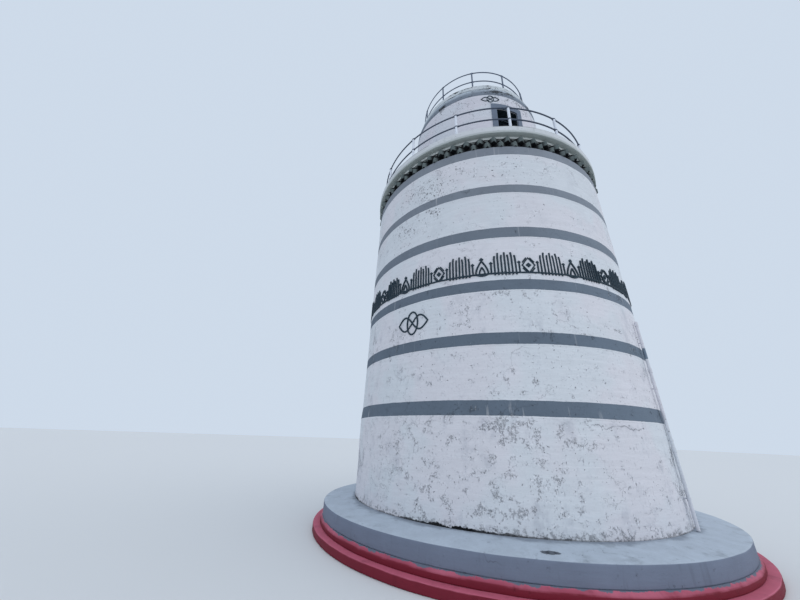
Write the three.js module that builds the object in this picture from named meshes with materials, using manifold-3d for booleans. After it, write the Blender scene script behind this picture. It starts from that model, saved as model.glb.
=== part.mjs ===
// A round whitewashed minaret: stepped base, tapering shaft, dogtooth cornice, gallery and drum.
// Millimetres, +Z up. The origin is the centre of the base on the ground, and the gallery doorway
// faces -Y. Azimuths are degrees from the doorway, growing towards +X.

import * as THREE from 'three';
import { mergeGeometries, mergeVertices } from 'three/addons/utils/BufferGeometryUtils.js';
import Module from 'manifold-3d';

const wasm = await Module();
wasm.setup();

// Clearances and facets

const SEAM = 0.3;
const FACET_DEG = 3.75;
const FULL_TURN = 360;
const TUBE_SIDES = 8;

// Base

const BASE = {
  lowerRadius: 3770,
  lowerTop: 113,
  upperRadius: 3650,
  upperEdge: 183,
  plinthRadius: 3609,
  plinthFoot: 224,
  plinthFaceTop: 436,
  plinthTop: 484,
};

// Shaft: one thick masonry wall around a round well. It stands nearly upright up to the lowest
// painted band, steps in across that band and tapers from there to the ledge.

const WELL_RADIUS = 1550;
const SHAFT = {
  footRadius: 3030,
  bandFoot: 1886,
  bandFootRadius: 3020,
  bandTop: 2092,
  bandTopRadius: 2996,
  ledge: 7105,
  ledgeRadius: 2868,
  neckRadius: 2640,
  segments: 8,
};

// Dogtooth cornice and gallery floor

const TEETH = {
  count: 64,
  sectors: 4,
  tipRadius: 2912,
  rootRadius: 2778,
  backRadius: 2650,
  lowerTop: 7242,
  upperTop: 7379,
  phase: 1.1,
};
const GALLERY = {
  filletRadius: 2806,
  soffit: 7464,
  edgeRadius: 2925,
  floor: 7642,
};

// Drum above the gallery, its doorway, cornice and flat roof

const DRUM = {
  radius: 1850,
  top: 10178,
  segments: 7,
};
const DOOR = {
  width: 592,
  head: 9632,
  surroundWidth: 139,
  surroundHead: 165,
  surroundProud: 20,
};
const CORNICE = {
  bulge: 40,
  topRadius: 1730,
  top: 10582,
  points: 8,
};
const ROOF = {
  radius: 1740,
  top: 10722,
};

// Railings

const GALLERY_RAIL = {
  radius: 2770,
  base: GALLERY.floor,
  top: 8402,
  mid: 8032,
  posts: 15,
  firstPost: -12.8,
  sections: [3, 3, 3, 3, 3],
  postRadius: 30,
  railRadius: 17,
};
const ROOF_RAIL = {
  radius: 1602,
  base: ROOF.top,
  top: 11509,
  mid: 11112,
  posts: 11,
  firstPost: -26.4,
  sections: [3, 3, 3, 2],
  postRadius: 21,
  railRadius: 14,
};

// Straight pipe clipped to the shaft

const PIPE = {
  azimuth: 7.5 * FACET_DEG,
  radius: 25,
  foot: BASE.plinthTop + 5,
  footGap: 40,
  top: 3590,
  topGap: 28,
  clips: 4,
  clipRadius: 33,
  clipHeight: 45,
};

// Materials

const paint = (name, color, roughness, metalness = 0) =>
  new THREE.MeshStandardMaterial({ name, color, roughness, metalness });

const MATERIALS = {
  redPaint: paint('red step paint', '#8f4a48', 0.8),
  greyPlinth: paint('grey plinth render', '#9aa3b0', 0.85),
  plaster: paint('whitewashed plaster', '#c6cad6', 0.9),
  teeth: paint('weathered grey stone', '#4c585c', 0.95),
  slab: paint('gallery slab render', '#a9afae', 0.9),
  greyPaint: paint('grey paint', '#6f7a8c', 0.85),
  whiteTube: paint('white painted tube', '#d4d6e0', 0.5, 0.3),
};

const radians = THREE.MathUtils.degToRad;
const degrees = THREE.MathUtils.radToDeg;

// Geometry helpers

function planPoint(radius, azimuth) {
  const angle = radians(azimuth);
  return new THREE.Vector2(radius * Math.sin(angle), -radius * Math.cos(angle));
}

function spread(from, to, steps) {
  return Array.from({ length: steps + 1 }, (_, i) => from + ((to - from) * i) / steps);
}

function weld(parts) {
  const bare = parts.map((part) => {
    const copy = part.index ? part : mergeVertices(part);
    copy.deleteAttribute('normal');
    copy.deleteAttribute('uv');
    return copy;
  });
  const welded = mergeVertices(bare.length > 1 ? mergeGeometries(bare) : bare[0], 1e-3);
  welded.computeVertexNormals();
  return welded;
}

// A profile of (radius, height) points turned all the way round. It starts and ends on the axis.
function turned(profile, steps = FULL_TURN / FACET_DEG) {
  const points = profile.map(([radius, height]) => new THREE.Vector2(radius, height));
  return weld([new THREE.LatheGeometry(points, steps).rotateX(Math.PI / 2)]);
}

// A closed profile, anticlockwise in (radius, height), turned between two azimuths and capped.
function turnedSector(profile, from, to, steps) {
  const points = profile.map(([radius, height]) => new THREE.Vector2(radius, height));
  const loop = [...points, points[0]];
  const body = new THREE.LatheGeometry(loop, steps, radians(from), radians(to - from)).rotateX(Math.PI / 2);
  const index = [...body.index.array];
  const lastColumn = steps * loop.length;
  for (const [a, b, c] of THREE.ShapeUtils.triangulateShape(points, [])) {
    index.push(a, b, c, lastColumn + b, lastColumn + a, lastColumn + c);
  }
  body.setIndex(index);
  return weld([body]);
}

// A plan outline raised from one height to another.
function raised(outline, bottom, top) {
  const body = new THREE.ExtrudeGeometry(new THREE.Shape(outline), { depth: top - bottom, bevelEnabled: false });
  return weld([body.translate(0, 0, bottom)]);
}

// The plan of a curved wall between inner and outer lists of azimuths.
function curvedWallPlan(innerRadius, innerAzimuths, outerRadius, outerAzimuths) {
  const outer = outerAzimuths.map((azimuth) => planPoint(outerRadius, azimuth));
  const inner = [...innerAzimuths].reverse().map((azimuth) => planPoint(innerRadius, azimuth));
  return [...outer, ...inner];
}

function toManifold(geometry) {
  return new wasm.Manifold(
    new wasm.Mesh({
      numProp: 3,
      vertProperties: new Float32Array(geometry.attributes.position.array),
      triVerts: new Uint32Array(geometry.index.array),
    }),
  );
}

function joined(geometries) {
  const solid = geometries.map(toManifold).reduce((sum, next) => sum.add(next));
  const mesh = solid.getMesh();
  const geometry = new THREE.BufferGeometry();
  geometry.setAttribute('position', new THREE.BufferAttribute(new Float32Array(mesh.vertProperties), 3));
  geometry.setIndex(new THREE.BufferAttribute(new Uint32Array(mesh.triVerts), 1));
  geometry.computeVertexNormals();
  return geometry;
}

const minaret = new THREE.Group();

function addPiece(name, geometry, material) {
  const mesh = new THREE.Mesh(geometry, material.clone());
  mesh.name = name;
  minaret.add(mesh);
  return mesh;
}

// Base: two painted courses and the plinth

addPiece(
  'lower_step',
  turned([
    [0, 0],
    [BASE.lowerRadius, 0],
    [BASE.lowerRadius, BASE.lowerTop],
    [0, BASE.lowerTop],
  ]),
  MATERIALS.redPaint,
);
addPiece(
  'upper_step',
  turned([
    [0, BASE.lowerTop],
    [BASE.upperRadius, BASE.lowerTop],
    [BASE.upperRadius, BASE.upperEdge],
    [BASE.plinthRadius, BASE.plinthFoot],
    [0, BASE.plinthFoot],
  ]),
  MATERIALS.redPaint,
);
addPiece(
  'plinth',
  turned([
    [0, BASE.plinthFoot],
    [BASE.plinthRadius, BASE.plinthFoot],
    [BASE.plinthRadius, BASE.plinthFaceTop],
    [SHAFT.footRadius, BASE.plinthTop],
    [0, BASE.plinthTop],
  ]),
  MATERIALS.greyPlinth,
);

// Shaft wall: its ledge carries the dogtooth, and a neck behind the teeth carries the floor

const shaftFace = [
  [SHAFT.footRadius, BASE.plinthTop],
  [SHAFT.bandFootRadius, SHAFT.bandFoot],
  [SHAFT.bandTopRadius, SHAFT.bandTop],
  [SHAFT.ledgeRadius, SHAFT.ledge],
];

function shaftRadius(height) {
  const upper = shaftFace.findIndex(([, level]) => level > height);
  const [[lowRadius, low], [highRadius, high]] = shaftFace.slice(upper - 1, upper + 1);
  return THREE.MathUtils.mapLinear(height, low, high, lowRadius, highRadius);
}

const seamAngle = degrees(SEAM / WELL_RADIUS);
const shaftStep = FULL_TURN / SHAFT.segments;
for (let i = 0; i < SHAFT.segments; i += 1) {
  const wall = turnedSector(
    [
      [WELL_RADIUS, BASE.plinthTop],
      ...shaftFace,
      [SHAFT.neckRadius, SHAFT.ledge],
      [SHAFT.neckRadius, TEETH.upperTop],
      [WELL_RADIUS, TEETH.upperTop],
    ],
    i * shaftStep,
    (i + 1) * shaftStep - seamAngle,
    shaftStep / FACET_DEG,
  );
  addPiece(`shaft_wall_${i + 1}`, wall, MATERIALS.plaster);
}

// Dogtooth courses: blocks laid corner outwards, the upper row staggered over the lower

function toothedSector(firstRoot, bottom, top) {
  const pitch = FULL_TURN / TEETH.count;
  const teeth = TEETH.count / TEETH.sectors;
  const end = firstRoot + teeth * pitch - seamAngle;
  const outline = [planPoint(TEETH.rootRadius, firstRoot)];
  for (let i = 0; i < teeth; i += 1) {
    const root = i === teeth - 1 ? end : firstRoot + (i + 1) * pitch;
    outline.push(planPoint(TEETH.tipRadius, firstRoot + (i + 0.5) * pitch), planPoint(TEETH.rootRadius, root));
  }
  for (const azimuth of spread(end, firstRoot, teeth)) {
    outline.push(planPoint(TEETH.backRadius, azimuth));
  }
  return raised(outline, bottom, top);
}

for (let i = 0; i < TEETH.sectors; i += 1) {
  const pitch = FULL_TURN / TEETH.count;
  const start = TEETH.phase + (i * FULL_TURN) / TEETH.sectors;
  addPiece(`dogtooth_lower_${i + 1}`, toothedSector(start, SHAFT.ledge, TEETH.lowerTop), MATERIALS.teeth);
  addPiece(
    `dogtooth_upper_${i + 1}`,
    toothedSector(start + pitch / 2, TEETH.lowerTop, TEETH.upperTop),
    MATERIALS.teeth,
  );
}

// Gallery floor with its fillet course below

addPiece(
  'gallery_floor',
  turned([
    [0, TEETH.upperTop],
    [GALLERY.filletRadius, TEETH.upperTop],
    [GALLERY.filletRadius, GALLERY.soffit],
    [GALLERY.edgeRadius, GALLERY.soffit],
    [GALLERY.edgeRadius, GALLERY.floor],
    [0, GALLERY.floor],
  ]),
  MATERIALS.slab,
);

// Drum wall, split beside and over the doorway, whose jambs are parallel

const jambAngle = (radius, inset = 0) => degrees(Math.asin((DOOR.width / 2 - inset) / radius));
const drumStart = jambAngle(DRUM.radius);
const drumStep = (FULL_TURN - 2 * drumStart) / DRUM.segments;
const drumFacets = Math.round(drumStep / FACET_DEG);

for (let i = 0; i < DRUM.segments; i += 1) {
  const from = drumStart + i * drumStep;
  const to = from + drumStep - (i < DRUM.segments - 1 ? seamAngle : 0);
  const innerFrom = i === 0 ? jambAngle(WELL_RADIUS) : from;
  const innerTo = i === DRUM.segments - 1 ? FULL_TURN - jambAngle(WELL_RADIUS) : to;
  const plan = curvedWallPlan(
    WELL_RADIUS,
    spread(innerFrom, innerTo, drumFacets),
    DRUM.radius,
    spread(from, to, drumFacets),
  );
  addPiece(`drum_wall_${i + 1}`, raised(plan, GALLERY.floor, DRUM.top), MATERIALS.plaster);
}

const lintelFacets = 4;
const lintelPlan = curvedWallPlan(
  WELL_RADIUS,
  spread(-jambAngle(WELL_RADIUS, SEAM), jambAngle(WELL_RADIUS, SEAM), lintelFacets),
  DRUM.radius,
  spread(-jambAngle(DRUM.radius, SEAM), jambAngle(DRUM.radius, SEAM), lintelFacets),
);
addPiece('drum_lintel', raised(lintelPlan, DOOR.head, DRUM.top), MATERIALS.plaster);

// Flat surround of the doorway

const surroundInner = DRUM.radius + SEAM;
const surroundOuter = DRUM.radius + DOOR.surroundProud;
const surroundEdge = drumStart + degrees(DOOR.surroundWidth / DRUM.radius);
const jambInner = [drumStart, drumStart + drumStep / drumFacets, surroundEdge];
const jambOuter = [jambAngle(surroundOuter), drumStart + drumStep / drumFacets, surroundEdge];
const mirrored = (azimuths) => azimuths.map((azimuth) => -azimuth).reverse();

addPiece(
  'door_surround_right',
  raised(curvedWallPlan(surroundInner, jambInner, surroundOuter, jambOuter), GALLERY.floor, DOOR.head),
  MATERIALS.greyPaint,
);
addPiece(
  'door_surround_left',
  raised(
    curvedWallPlan(surroundInner, mirrored(jambInner), surroundOuter, mirrored(jambOuter)),
    GALLERY.floor,
    DOOR.head,
  ),
  MATERIALS.greyPaint,
);
const headAngles = [
  ...mirrored(jambInner),
  ...spread(-drumStart, drumStart, lintelFacets).slice(1, -1),
  ...jambInner,
];
addPiece(
  'door_surround_head',
  raised(
    curvedWallPlan(surroundInner, headAngles, surroundOuter, headAngles),
    DOOR.head,
    DOOR.head + DOOR.surroundHead,
  ),
  MATERIALS.greyPaint,
);

// Cornice with a rounded face, and the flat roof slab

function cornicePoint(share) {
  const radius = THREE.MathUtils.lerp(DRUM.radius, CORNICE.topRadius, share);
  const height = THREE.MathUtils.lerp(DRUM.top, CORNICE.top, share);
  return [radius + CORNICE.bulge * Math.sin(Math.PI * share), height];
}

addPiece(
  'drum_cornice',
  turned([[0, DRUM.top], ...spread(0, 1, CORNICE.points).map(cornicePoint), [0, CORNICE.top]]),
  MATERIALS.greyPaint,
);
addPiece(
  'roof_slab',
  turned([
    [0, CORNICE.top],
    [ROOF.radius, CORNICE.top],
    [ROOF.radius, ROOF.top],
    [0, ROOF.top],
  ]),
  MATERIALS.plaster,
);

// Railings: curved top and middle rails carried by posts, in sections

function tubeProfile(ringRadius, height, tubeRadius) {
  return spread(0, FULL_TURN, TUBE_SIDES)
    .slice(0, -1)
    .map((turn) => {
      const angle = radians(turn + FULL_TURN / TUBE_SIDES / 2);
      return [ringRadius + tubeRadius * Math.cos(angle), height + tubeRadius * Math.sin(angle)];
    });
}

function railingSection(rail, firstIndex, count) {
  const bay = FULL_TURN / rail.posts;
  const from = rail.firstPost + (firstIndex - 0.5) * bay;
  const to = from + count * bay - degrees(SEAM / rail.radius);
  const railSteps = Math.round((to - from) / FACET_DEG);
  const rails = [rail.top - rail.railRadius, rail.mid].map((height) =>
    turnedSector(tubeProfile(rail.radius, height, rail.railRadius), from, to, railSteps),
  );
  const postHeight = rail.top - rail.railRadius - rail.base;
  const posts = Array.from({ length: count }, (_, i) => {
    const foot = planPoint(rail.radius, rail.firstPost + (firstIndex + i) * bay);
    const post = new THREE.CylinderGeometry(rail.postRadius, rail.postRadius, postHeight, TUBE_SIDES);
    return weld([post.rotateX(Math.PI / 2).translate(foot.x, foot.y, rail.base + postHeight / 2)]);
  });
  return joined([...rails, ...posts]);
}

function addRailing(name, rail) {
  let firstIndex = 0;
  rail.sections.forEach((count, i) => {
    addPiece(`${name}_${i + 1}`, railingSection(rail, firstIndex, count), MATERIALS.whiteTube);
    firstIndex += count;
  });
}

addRailing('gallery_railing', GALLERY_RAIL);
addRailing('roof_railing', ROOF_RAIL);

// Pipe on the flank, held by clips that reach the wall

function wallPipe() {
  const footAxis = SHAFT.footRadius + PIPE.footGap + PIPE.radius;
  const topAxis = shaftRadius(PIPE.top) + PIPE.topGap + PIPE.radius;
  const rise = PIPE.top - PIPE.foot;
  const lean = Math.atan2(footAxis - topAxis, rise);
  const pipe = new THREE.CylinderGeometry(PIPE.radius, PIPE.radius, rise / Math.cos(lean), TUBE_SIDES);
  pipe.rotateX(Math.PI / 2 - lean).translate(0, -(footAxis + topAxis) / 2, PIPE.foot + rise / 2);
  const parts = [pipe];
  for (let i = 0; i < PIPE.clips; i += 1) {
    const share = (i + 0.5) / PIPE.clips;
    const height = PIPE.foot + share * rise;
    const axis = THREE.MathUtils.lerp(footAxis, topAxis, share);
    const wallFace = shaftRadius(height - PIPE.clipHeight / 2) * Math.cos(radians(FACET_DEG / 2)) + SEAM;
    const clip = new THREE.CylinderGeometry(PIPE.clipRadius, PIPE.clipRadius, PIPE.clipHeight, TUBE_SIDES);
    const foot = new THREE.BoxGeometry(PIPE.clipHeight, axis - wallFace, PIPE.clipHeight);
    parts.push(clip.rotateX(Math.PI / 2).translate(0, -axis, height));
    parts.push(foot.translate(0, -(axis + wallFace) / 2, height));
  }
  return joined(parts.map((part) => weld([part]))).rotateZ(radians(PIPE.azimuth));
}

addPiece('wall_pipe', wallPipe(), MATERIALS.plaster);

export default minaret;
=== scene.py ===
"""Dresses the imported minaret: smooth masonry, painted bands, raised ornament, railings and weathering.

Metres and +Z up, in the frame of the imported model. The origin is the centre of the base on the
ground and the gallery doorway faces -Y. Azimuths are degrees from the doorway, growing towards +X.
"""

import math
import random
from typing import NamedTuple

import bmesh
import bpy
from bpy.props import FloatProperty, FloatVectorProperty, IntProperty, PointerProperty
from bpy.types import Operator, Panel, PropertyGroup
from mathutils import Euler, Matrix, Vector, noise


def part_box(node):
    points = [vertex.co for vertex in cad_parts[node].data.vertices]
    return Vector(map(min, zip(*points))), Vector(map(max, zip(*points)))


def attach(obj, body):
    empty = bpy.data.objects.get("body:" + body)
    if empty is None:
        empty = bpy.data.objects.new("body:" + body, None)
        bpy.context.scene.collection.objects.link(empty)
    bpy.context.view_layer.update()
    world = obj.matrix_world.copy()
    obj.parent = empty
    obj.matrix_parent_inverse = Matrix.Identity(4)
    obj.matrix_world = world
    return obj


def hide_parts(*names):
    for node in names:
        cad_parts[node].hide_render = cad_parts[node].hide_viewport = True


bl_info = {
    "name": "Whitewashed minaret",
    "version": (1, 0, 0),
    "blender": (4, 5, 0),
    "location": "3D View > Sidebar > Minaret",
    "description": "Dresses the packed minaret with its masonry, paint, ornament and railings",
    "category": "Object",
}

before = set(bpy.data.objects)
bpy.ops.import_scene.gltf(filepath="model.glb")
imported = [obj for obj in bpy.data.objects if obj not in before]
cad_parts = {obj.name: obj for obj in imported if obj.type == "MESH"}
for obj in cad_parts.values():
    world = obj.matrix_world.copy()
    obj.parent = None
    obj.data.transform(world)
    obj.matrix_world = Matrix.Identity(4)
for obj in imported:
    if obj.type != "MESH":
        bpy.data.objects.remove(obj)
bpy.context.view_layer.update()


def top_of(node):
    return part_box(node)[1][2]


def foot_of(node):
    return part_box(node)[0][2]


def radius_of(node):
    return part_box(node)[1][0]


SHAFT_NODES = [f"shaft_wall_{i}" for i in range(1, 9)]
DRUM_NODES = [f"drum_wall_{i}" for i in range(1, 8)] + ["drum_lintel"]
LOWER_TEETH = [f"dogtooth_lower_{i}" for i in range(1, 5)]
UPPER_TEETH = [f"dogtooth_upper_{i}" for i in range(1, 5)]
GALLERY_RAILS = [f"gallery_railing_{i}" for i in range(1, 6)]
ROOF_RAILS = [f"roof_railing_{i}" for i in range(1, 5)]

# Levels and radii, read from the frame where a box gives them

GROUND = foot_of("lower_step")
STEP_TOP = top_of("lower_step")
STEP_RADIUS = radius_of("lower_step")
UPPER_STEP_RADIUS = radius_of("upper_step")
UPPER_STEP_RISE = 0.070
UPPER_STEP_EDGE = STEP_TOP + UPPER_STEP_RISE
PLINTH_FOOT = foot_of("plinth")
PLINTH_TOP = top_of("plinth")
PLINTH_FALL = 0.048
PLINTH_EDGE = PLINTH_TOP - PLINTH_FALL
PLINTH_RADIUS = radius_of("plinth")
WELL_RADIUS = 1.550
LEDGE = foot_of("dogtooth_lower_1")
TEETH_MIDDLE = top_of("dogtooth_lower_1")
TEETH_TOP = top_of("dogtooth_upper_1")
FLOOR_TOP = top_of("gallery_floor")
FLOOR_DEPTH = 0.178
SOFFIT = FLOOR_TOP - FLOOR_DEPTH
FLOOR_RADIUS = radius_of("gallery_floor")
FILLET_RADIUS = 2.806
DRUM_RADIUS = 1.850
DRUM_TOP = foot_of("drum_cornice")
CORNICE_TOP = top_of("drum_cornice")
ROOF_TOP = top_of("roof_slab")
ROOF_RADIUS = radius_of("roof_slab")
DOOR_HEAD = foot_of("door_surround_head")
SURROUND_TOP = top_of("door_surround_head")
DOOR_WIDTH = 0.592
SURROUND_WIDTH = 0.139
SURROUND_PROUD = 0.020

# The shaft's face as (radius, height), and the heights where its painted bands start and stop

SHAFT_FACE = [(3.030, PLINTH_TOP), (3.020, 1.886), (2.996, 2.092), (2.868, LEDGE)]
NECK_RADIUS = 2.640
PAINTED_BANDS = [
    (1.886, 2.084),
    (2.918, 3.104),
    (3.838, 4.016),
    (4.882, 5.084),
    (5.890, 6.082),
    (6.878, LEDGE + 0.02),
]
UPPER_BANDS_FROM = 3.2

# Worn places on the seen side of the shaft, the drum and the crown, each with its azimuth, its height,
# half its width in degrees, half its height and its strength

WORN_PLACES = [
    (-34.6, 1.99, 2, 0.03, 1.3),
    (-43, 1.79, 8, 0.09, 0.9),
    (-27, 1.76, 8, 0.13, 1.1),
    (-14, 1.81, 4, 0.06, 0.8),
    (-44, 1.30, 6, 0.20, 0.7),
    (-32, 1.32, 3, 0.18, 0.7),
    (-59, 1.24, 3, 0.30, 0.5),
    (-22, 1.46, 4, 0.13, 0.9),
    (-10, 1.58, 4, 0.14, 0.9),
    (-21, 1.12, 4, 0.10, 0.7),
    (-31, 0.76, 5, 0.20, 1.1),
    (-22, 0.88, 3, 0.12, 0.7),
    (-45, 0.74, 4, 0.16, 0.6),
    (-5, 0.62, 5, 0.12, 1.0),
    (-25, 3.76, 6, 0.05, 0.8),
    (-37, 3.44, 6, 0.12, 0.7),
    (-20, 3.48, 3, 0.08, 0.5),
    (-56, 6.50, 8, 0.30, 0.9),
    (-47, 6.35, 7, 0.34, 1.0),
    (-34, 6.62, 8, 0.16, 0.7),
    (-18, 6.52, 6, 0.26, 0.6),
    (-62, 5.60, 8, 0.28, 0.9),
    (-47, 5.76, 4, 0.12, 1.2),
    (-62, 3.25, 5, 0.25, 0.6),
    (20, 3.95, 5, 0.08, 1.2),
    (21, 3.02, 3, 0.08, 1.2),
]
DRUM_MARKS = [
    (-56, 10.13, 3, 0.07, 2.6),
    (2, 10.05, 3, 0.07, 1.9),
    (14, 10.04, 8, 0.12, 1.5),
    (21, 9.90, 6, 0.16, 1.3),
]
CROWN_STAINS = [
    (-55, 10.21, 3, 0.06, 2.2),
    (-45, 10.70, 5, 0.03, 1.5),
    (-33, 10.69, 6, 0.02, 1.3),
    (-18, 10.43, 6, 0.03, 1.8),
    (-8, 10.33, 5, 0.05, 2.2),
    (6, 10.35, 5, 0.05, 2.0),
]

# The azimuths that the camera sees, those between which the low wall is flecked, and how soon that fades

SEEN_SIDE = (-80.0, 22.0)
FLECKED_SIDE = (-66.0, 2.0)
FLECKED_EDGE = 9.0

# Chips in the plinth's top: x, y and reach

PLINTH_CHIPS = [(-1.30, -3.155, 0.070), (-1.24, -3.175, 0.080), (-1.18, -3.195, 0.062)]

# The long crack low on the shaft: its lowest and highest level, then the azimuths between which it runs

SETTLE_CRACK = (1.72, 1.88, -7.0, 14.0)

# The radii between which the dogtooth turns from recesses painted black as painted shade to stone, and the
# limits of rot on the crown

NOSE_FROM = (2.832, 2.884)
ROT_EDGE = (0.60, 0.64)

# Wear where no mark is placed, and the damp at the wall's foot

MARK_FALL = 0.7
SOUND_WASH = -0.15
SOUND_LOW_WALL = -0.5
FLECKED_MORE = 0.75
LOW_WALL_SHARE = 0.8
HIGH_WALL_SHARE = 0.4
DAMPEST = -42.0
DAMP_REACH = 30.0
WALL_NOISE_RADIUS = 3.0


def worn_at(places, azimuth, height, amount):
    """The strongest of the placed marks here, or the given amount where none reaches."""
    for at, level, wide, tall, strength in places:
        spot = ((azimuth - at) / wide) ** 2 + ((height - level) / tall) ** 2
        amount = max(amount, strength * math.exp(-MARK_FALL * spot))
    return amount


def worn_shaft(azimuth, height):
    """How far the wash has peeled, from 0 to about 1: placed on the seen side and scattered elsewhere."""
    low_wall = height < PAINTED_BANDS[0][0]
    amount = SOUND_WASH
    if low_wall:
        inward = min(azimuth - FLECKED_SIDE[0], FLECKED_SIDE[1] - azimuth)
        amount = SOUND_LOW_WALL + FLECKED_MORE * max(0.0, min(1.0, inward / FLECKED_EDGE))
    amount = worn_at(WORN_PLACES, azimuth, height, amount)
    if not SEEN_SIDE[0] < azimuth < SEEN_SIDE[1]:
        here = place(WALL_NOISE_RADIUS, math.radians(azimuth), height)
        share = LOW_WALL_SHARE if low_wall else HIGH_WALL_SHARE
        amount = max(amount, share * (0.1 + 2.4 * wander(here, 1.3, 5.0)))
    return amount


def damp_foot(azimuth, _):
    """How black the joint at the wall's foot is: worst on the seen side's left, light elsewhere."""
    here = place(WALL_NOISE_RADIUS, math.radians(azimuth), 0.0)
    side = math.exp(-(((azimuth - DAMPEST) / DAMP_REACH) ** 2))
    return max(side, 0.30 + 1.2 * wander(here, 0.5, 2.0))


def worn_drum(azimuth, height):
    """Peeling high on the drum, more on some sides than on others."""
    here = place(DRUM_RADIUS, math.radians(azimuth), height)
    high = max(0.0, (height - FLOOR_TOP) / (DRUM_TOP - FLOOR_TOP)) ** 3
    scattered = 0.05 + 0.55 * high * max(0.0, 0.6 + 2.0 * wander(here, 1.2, 8.0))
    return worn_at(DRUM_MARKS, azimuth, height, scattered)


def worn_crown(azimuth, height):
    """Rot along the joint between the cornice and the roof's edge."""
    here = place(ROOF_RADIUS, math.radians(azimuth), 0.0)
    return worn_at(CROWN_STAINS, azimuth, height, max(0.0, 0.1 + 1.6 * wander(here, 0.9, 3.0)))


def shaft_radius(height):
    """The radius of the shaft's face at a height."""
    for (low_radius, low), (high_radius, high) in zip(SHAFT_FACE, SHAFT_FACE[1:]):
        if height <= high:
            share = (height - low) / (high - low)
            return low_radius + share * (high_radius - low_radius)
    return SHAFT_FACE[-1][0]


# Settings


class MinaretStage(PropertyGroup):
    """Camera, light and floor."""

    camera_distance: FloatProperty(
        name="Camera distance", description="From the tower's axis, on plan", default=8.0, unit="LENGTH"
    )
    camera_azimuth: FloatProperty(
        name="Camera azimuth",
        description="Where the camera stands",
        default=math.radians(-29.2),
        unit="ROTATION",
    )
    camera_height: FloatProperty(
        name="Camera height", description="Above the ground", default=1.587, unit="LENGTH"
    )
    heading: FloatProperty(
        name="Heading", description="Right of +Y", default=math.radians(12.8), unit="ROTATION"
    )
    pitch: FloatProperty(name="Pitch", description="Upwards", default=math.radians(22.85), unit="ROTATION")
    roll: FloatProperty(name="Roll", description="Anticlockwise", default=math.radians(1.97), unit="ROTATION")
    lens: FloatProperty(name="Lens", description="Focal length in millimetres", default=14.449, min=1.0)
    sky: FloatVectorProperty(
        name="Sky", description="Pale backdrop", subtype="COLOR", default=(0.70, 0.80, 0.93), min=0.0, max=1.0
    )
    floor: FloatVectorProperty(
        name="Floor", description="Pale floor", subtype="COLOR", default=(0.66, 0.67, 0.68), min=0.0, max=1.0
    )
    sky_strength: FloatProperty(name="Sky strength", description="Ambient light", default=0.88, min=0.0)
    sun_strength: FloatProperty(name="Softbox strength", description="Broad light", default=1.0, min=0.0)


class MinaretColours(PropertyGroup):
    """Base colours of the finishes."""

    whitewash: FloatVectorProperty(
        name="Whitewash", description="Lime wash on the walls", subtype="COLOR", default=(0.678, 0.684, 0.712)
    )
    undercoat: FloatVectorProperty(
        name="Undercoat", description="Older wash under it", subtype="COLOR", default=(0.36, 0.375, 0.43)
    )
    band: FloatVectorProperty(
        name="Band paint", description="Grey painted bands", subtype="COLOR", default=(0.125, 0.158, 0.200)
    )
    red: FloatVectorProperty(
        name="Step paint", description="Red masonry paint", subtype="COLOR", default=(0.185, 0.012, 0.028)
    )
    tread: FloatVectorProperty(
        name="Worn red",
        description="The same paint where it is trodden",
        subtype="COLOR",
        default=(0.48, 0.105, 0.165),
    )
    plinth: FloatVectorProperty(
        name="Plinth paint",
        description="Grey paint on the plinth",
        subtype="COLOR",
        default=(0.173, 0.203, 0.270),
    )
    plinth_top: FloatVectorProperty(
        name="Plinth top", description="Dusty upper face", subtype="COLOR", default=(0.41, 0.465, 0.535)
    )
    stone: FloatVectorProperty(
        name="Cornice stone",
        description="Weathered dogtooth blocks",
        subtype="COLOR",
        default=(0.120, 0.145, 0.145),
    )
    ornament: FloatVectorProperty(
        name="Ornament paint", description="Raised ornament", subtype="COLOR", default=(0.018, 0.036, 0.052)
    )
    soffit: FloatVectorProperty(
        name="Soffit",
        description="Stained render under the slab",
        subtype="COLOR",
        default=(0.42, 0.46, 0.44),
    )
    moulding: FloatVectorProperty(
        name="Moulding",
        description="Grey paint of the drum cornice",
        subtype="COLOR",
        default=(0.185, 0.215, 0.260),
    )
    surround: FloatVectorProperty(
        name="Surround",
        description="Grey paint round the doorway",
        subtype="COLOR",
        default=(0.140, 0.170, 0.225),
    )
    rail: FloatVectorProperty(
        name="Rails", description="Grey tube of the rails", subtype="COLOR", default=(0.075, 0.095, 0.135)
    )
    post: FloatVectorProperty(
        name="Posts",
        description="White tube of the gallery posts",
        subtype="COLOR",
        default=(0.74, 0.77, 0.84),
    )


class MinaretSizes(PropertyGroup):
    """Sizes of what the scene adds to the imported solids."""

    unevenness: FloatProperty(
        name="Unevenness", description="How far the plaster wanders", default=0.007, unit="LENGTH"
    )
    frieze_foot: FloatProperty(
        name="Frieze foot", description="Height of the raised frieze's foot", default=4.112, unit="LENGTH"
    )
    frieze_height: FloatProperty(
        name="Frieze height", description="Height of its tall bars", default=0.445, unit="LENGTH"
    )
    frieze_relief: FloatProperty(
        name="Frieze relief", description="How far it stands proud", default=0.018, unit="LENGTH"
    )
    frieze_units: IntProperty(name="Frieze units", description="Repeats round the shaft", default=24, min=4)
    stroke: FloatProperty(name="Stroke", description="Width of an ornament bar", default=0.029, unit="LENGTH")
    knot_width: FloatProperty(
        name="Knot width", description="Of the knot on the shaft", default=0.70, unit="LENGTH"
    )
    knot_height: FloatProperty(name="Knot height", description="Of that knot", default=0.455, unit="LENGTH")
    chip: FloatProperty(
        name="Chipping", description="Wear on the dogtooth blocks", default=0.010, unit="LENGTH"
    )
    knuckle: FloatProperty(
        name="Knuckle", description="Extra radius of rail fittings", default=0.012, unit="LENGTH"
    )


# Mesh helpers

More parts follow.
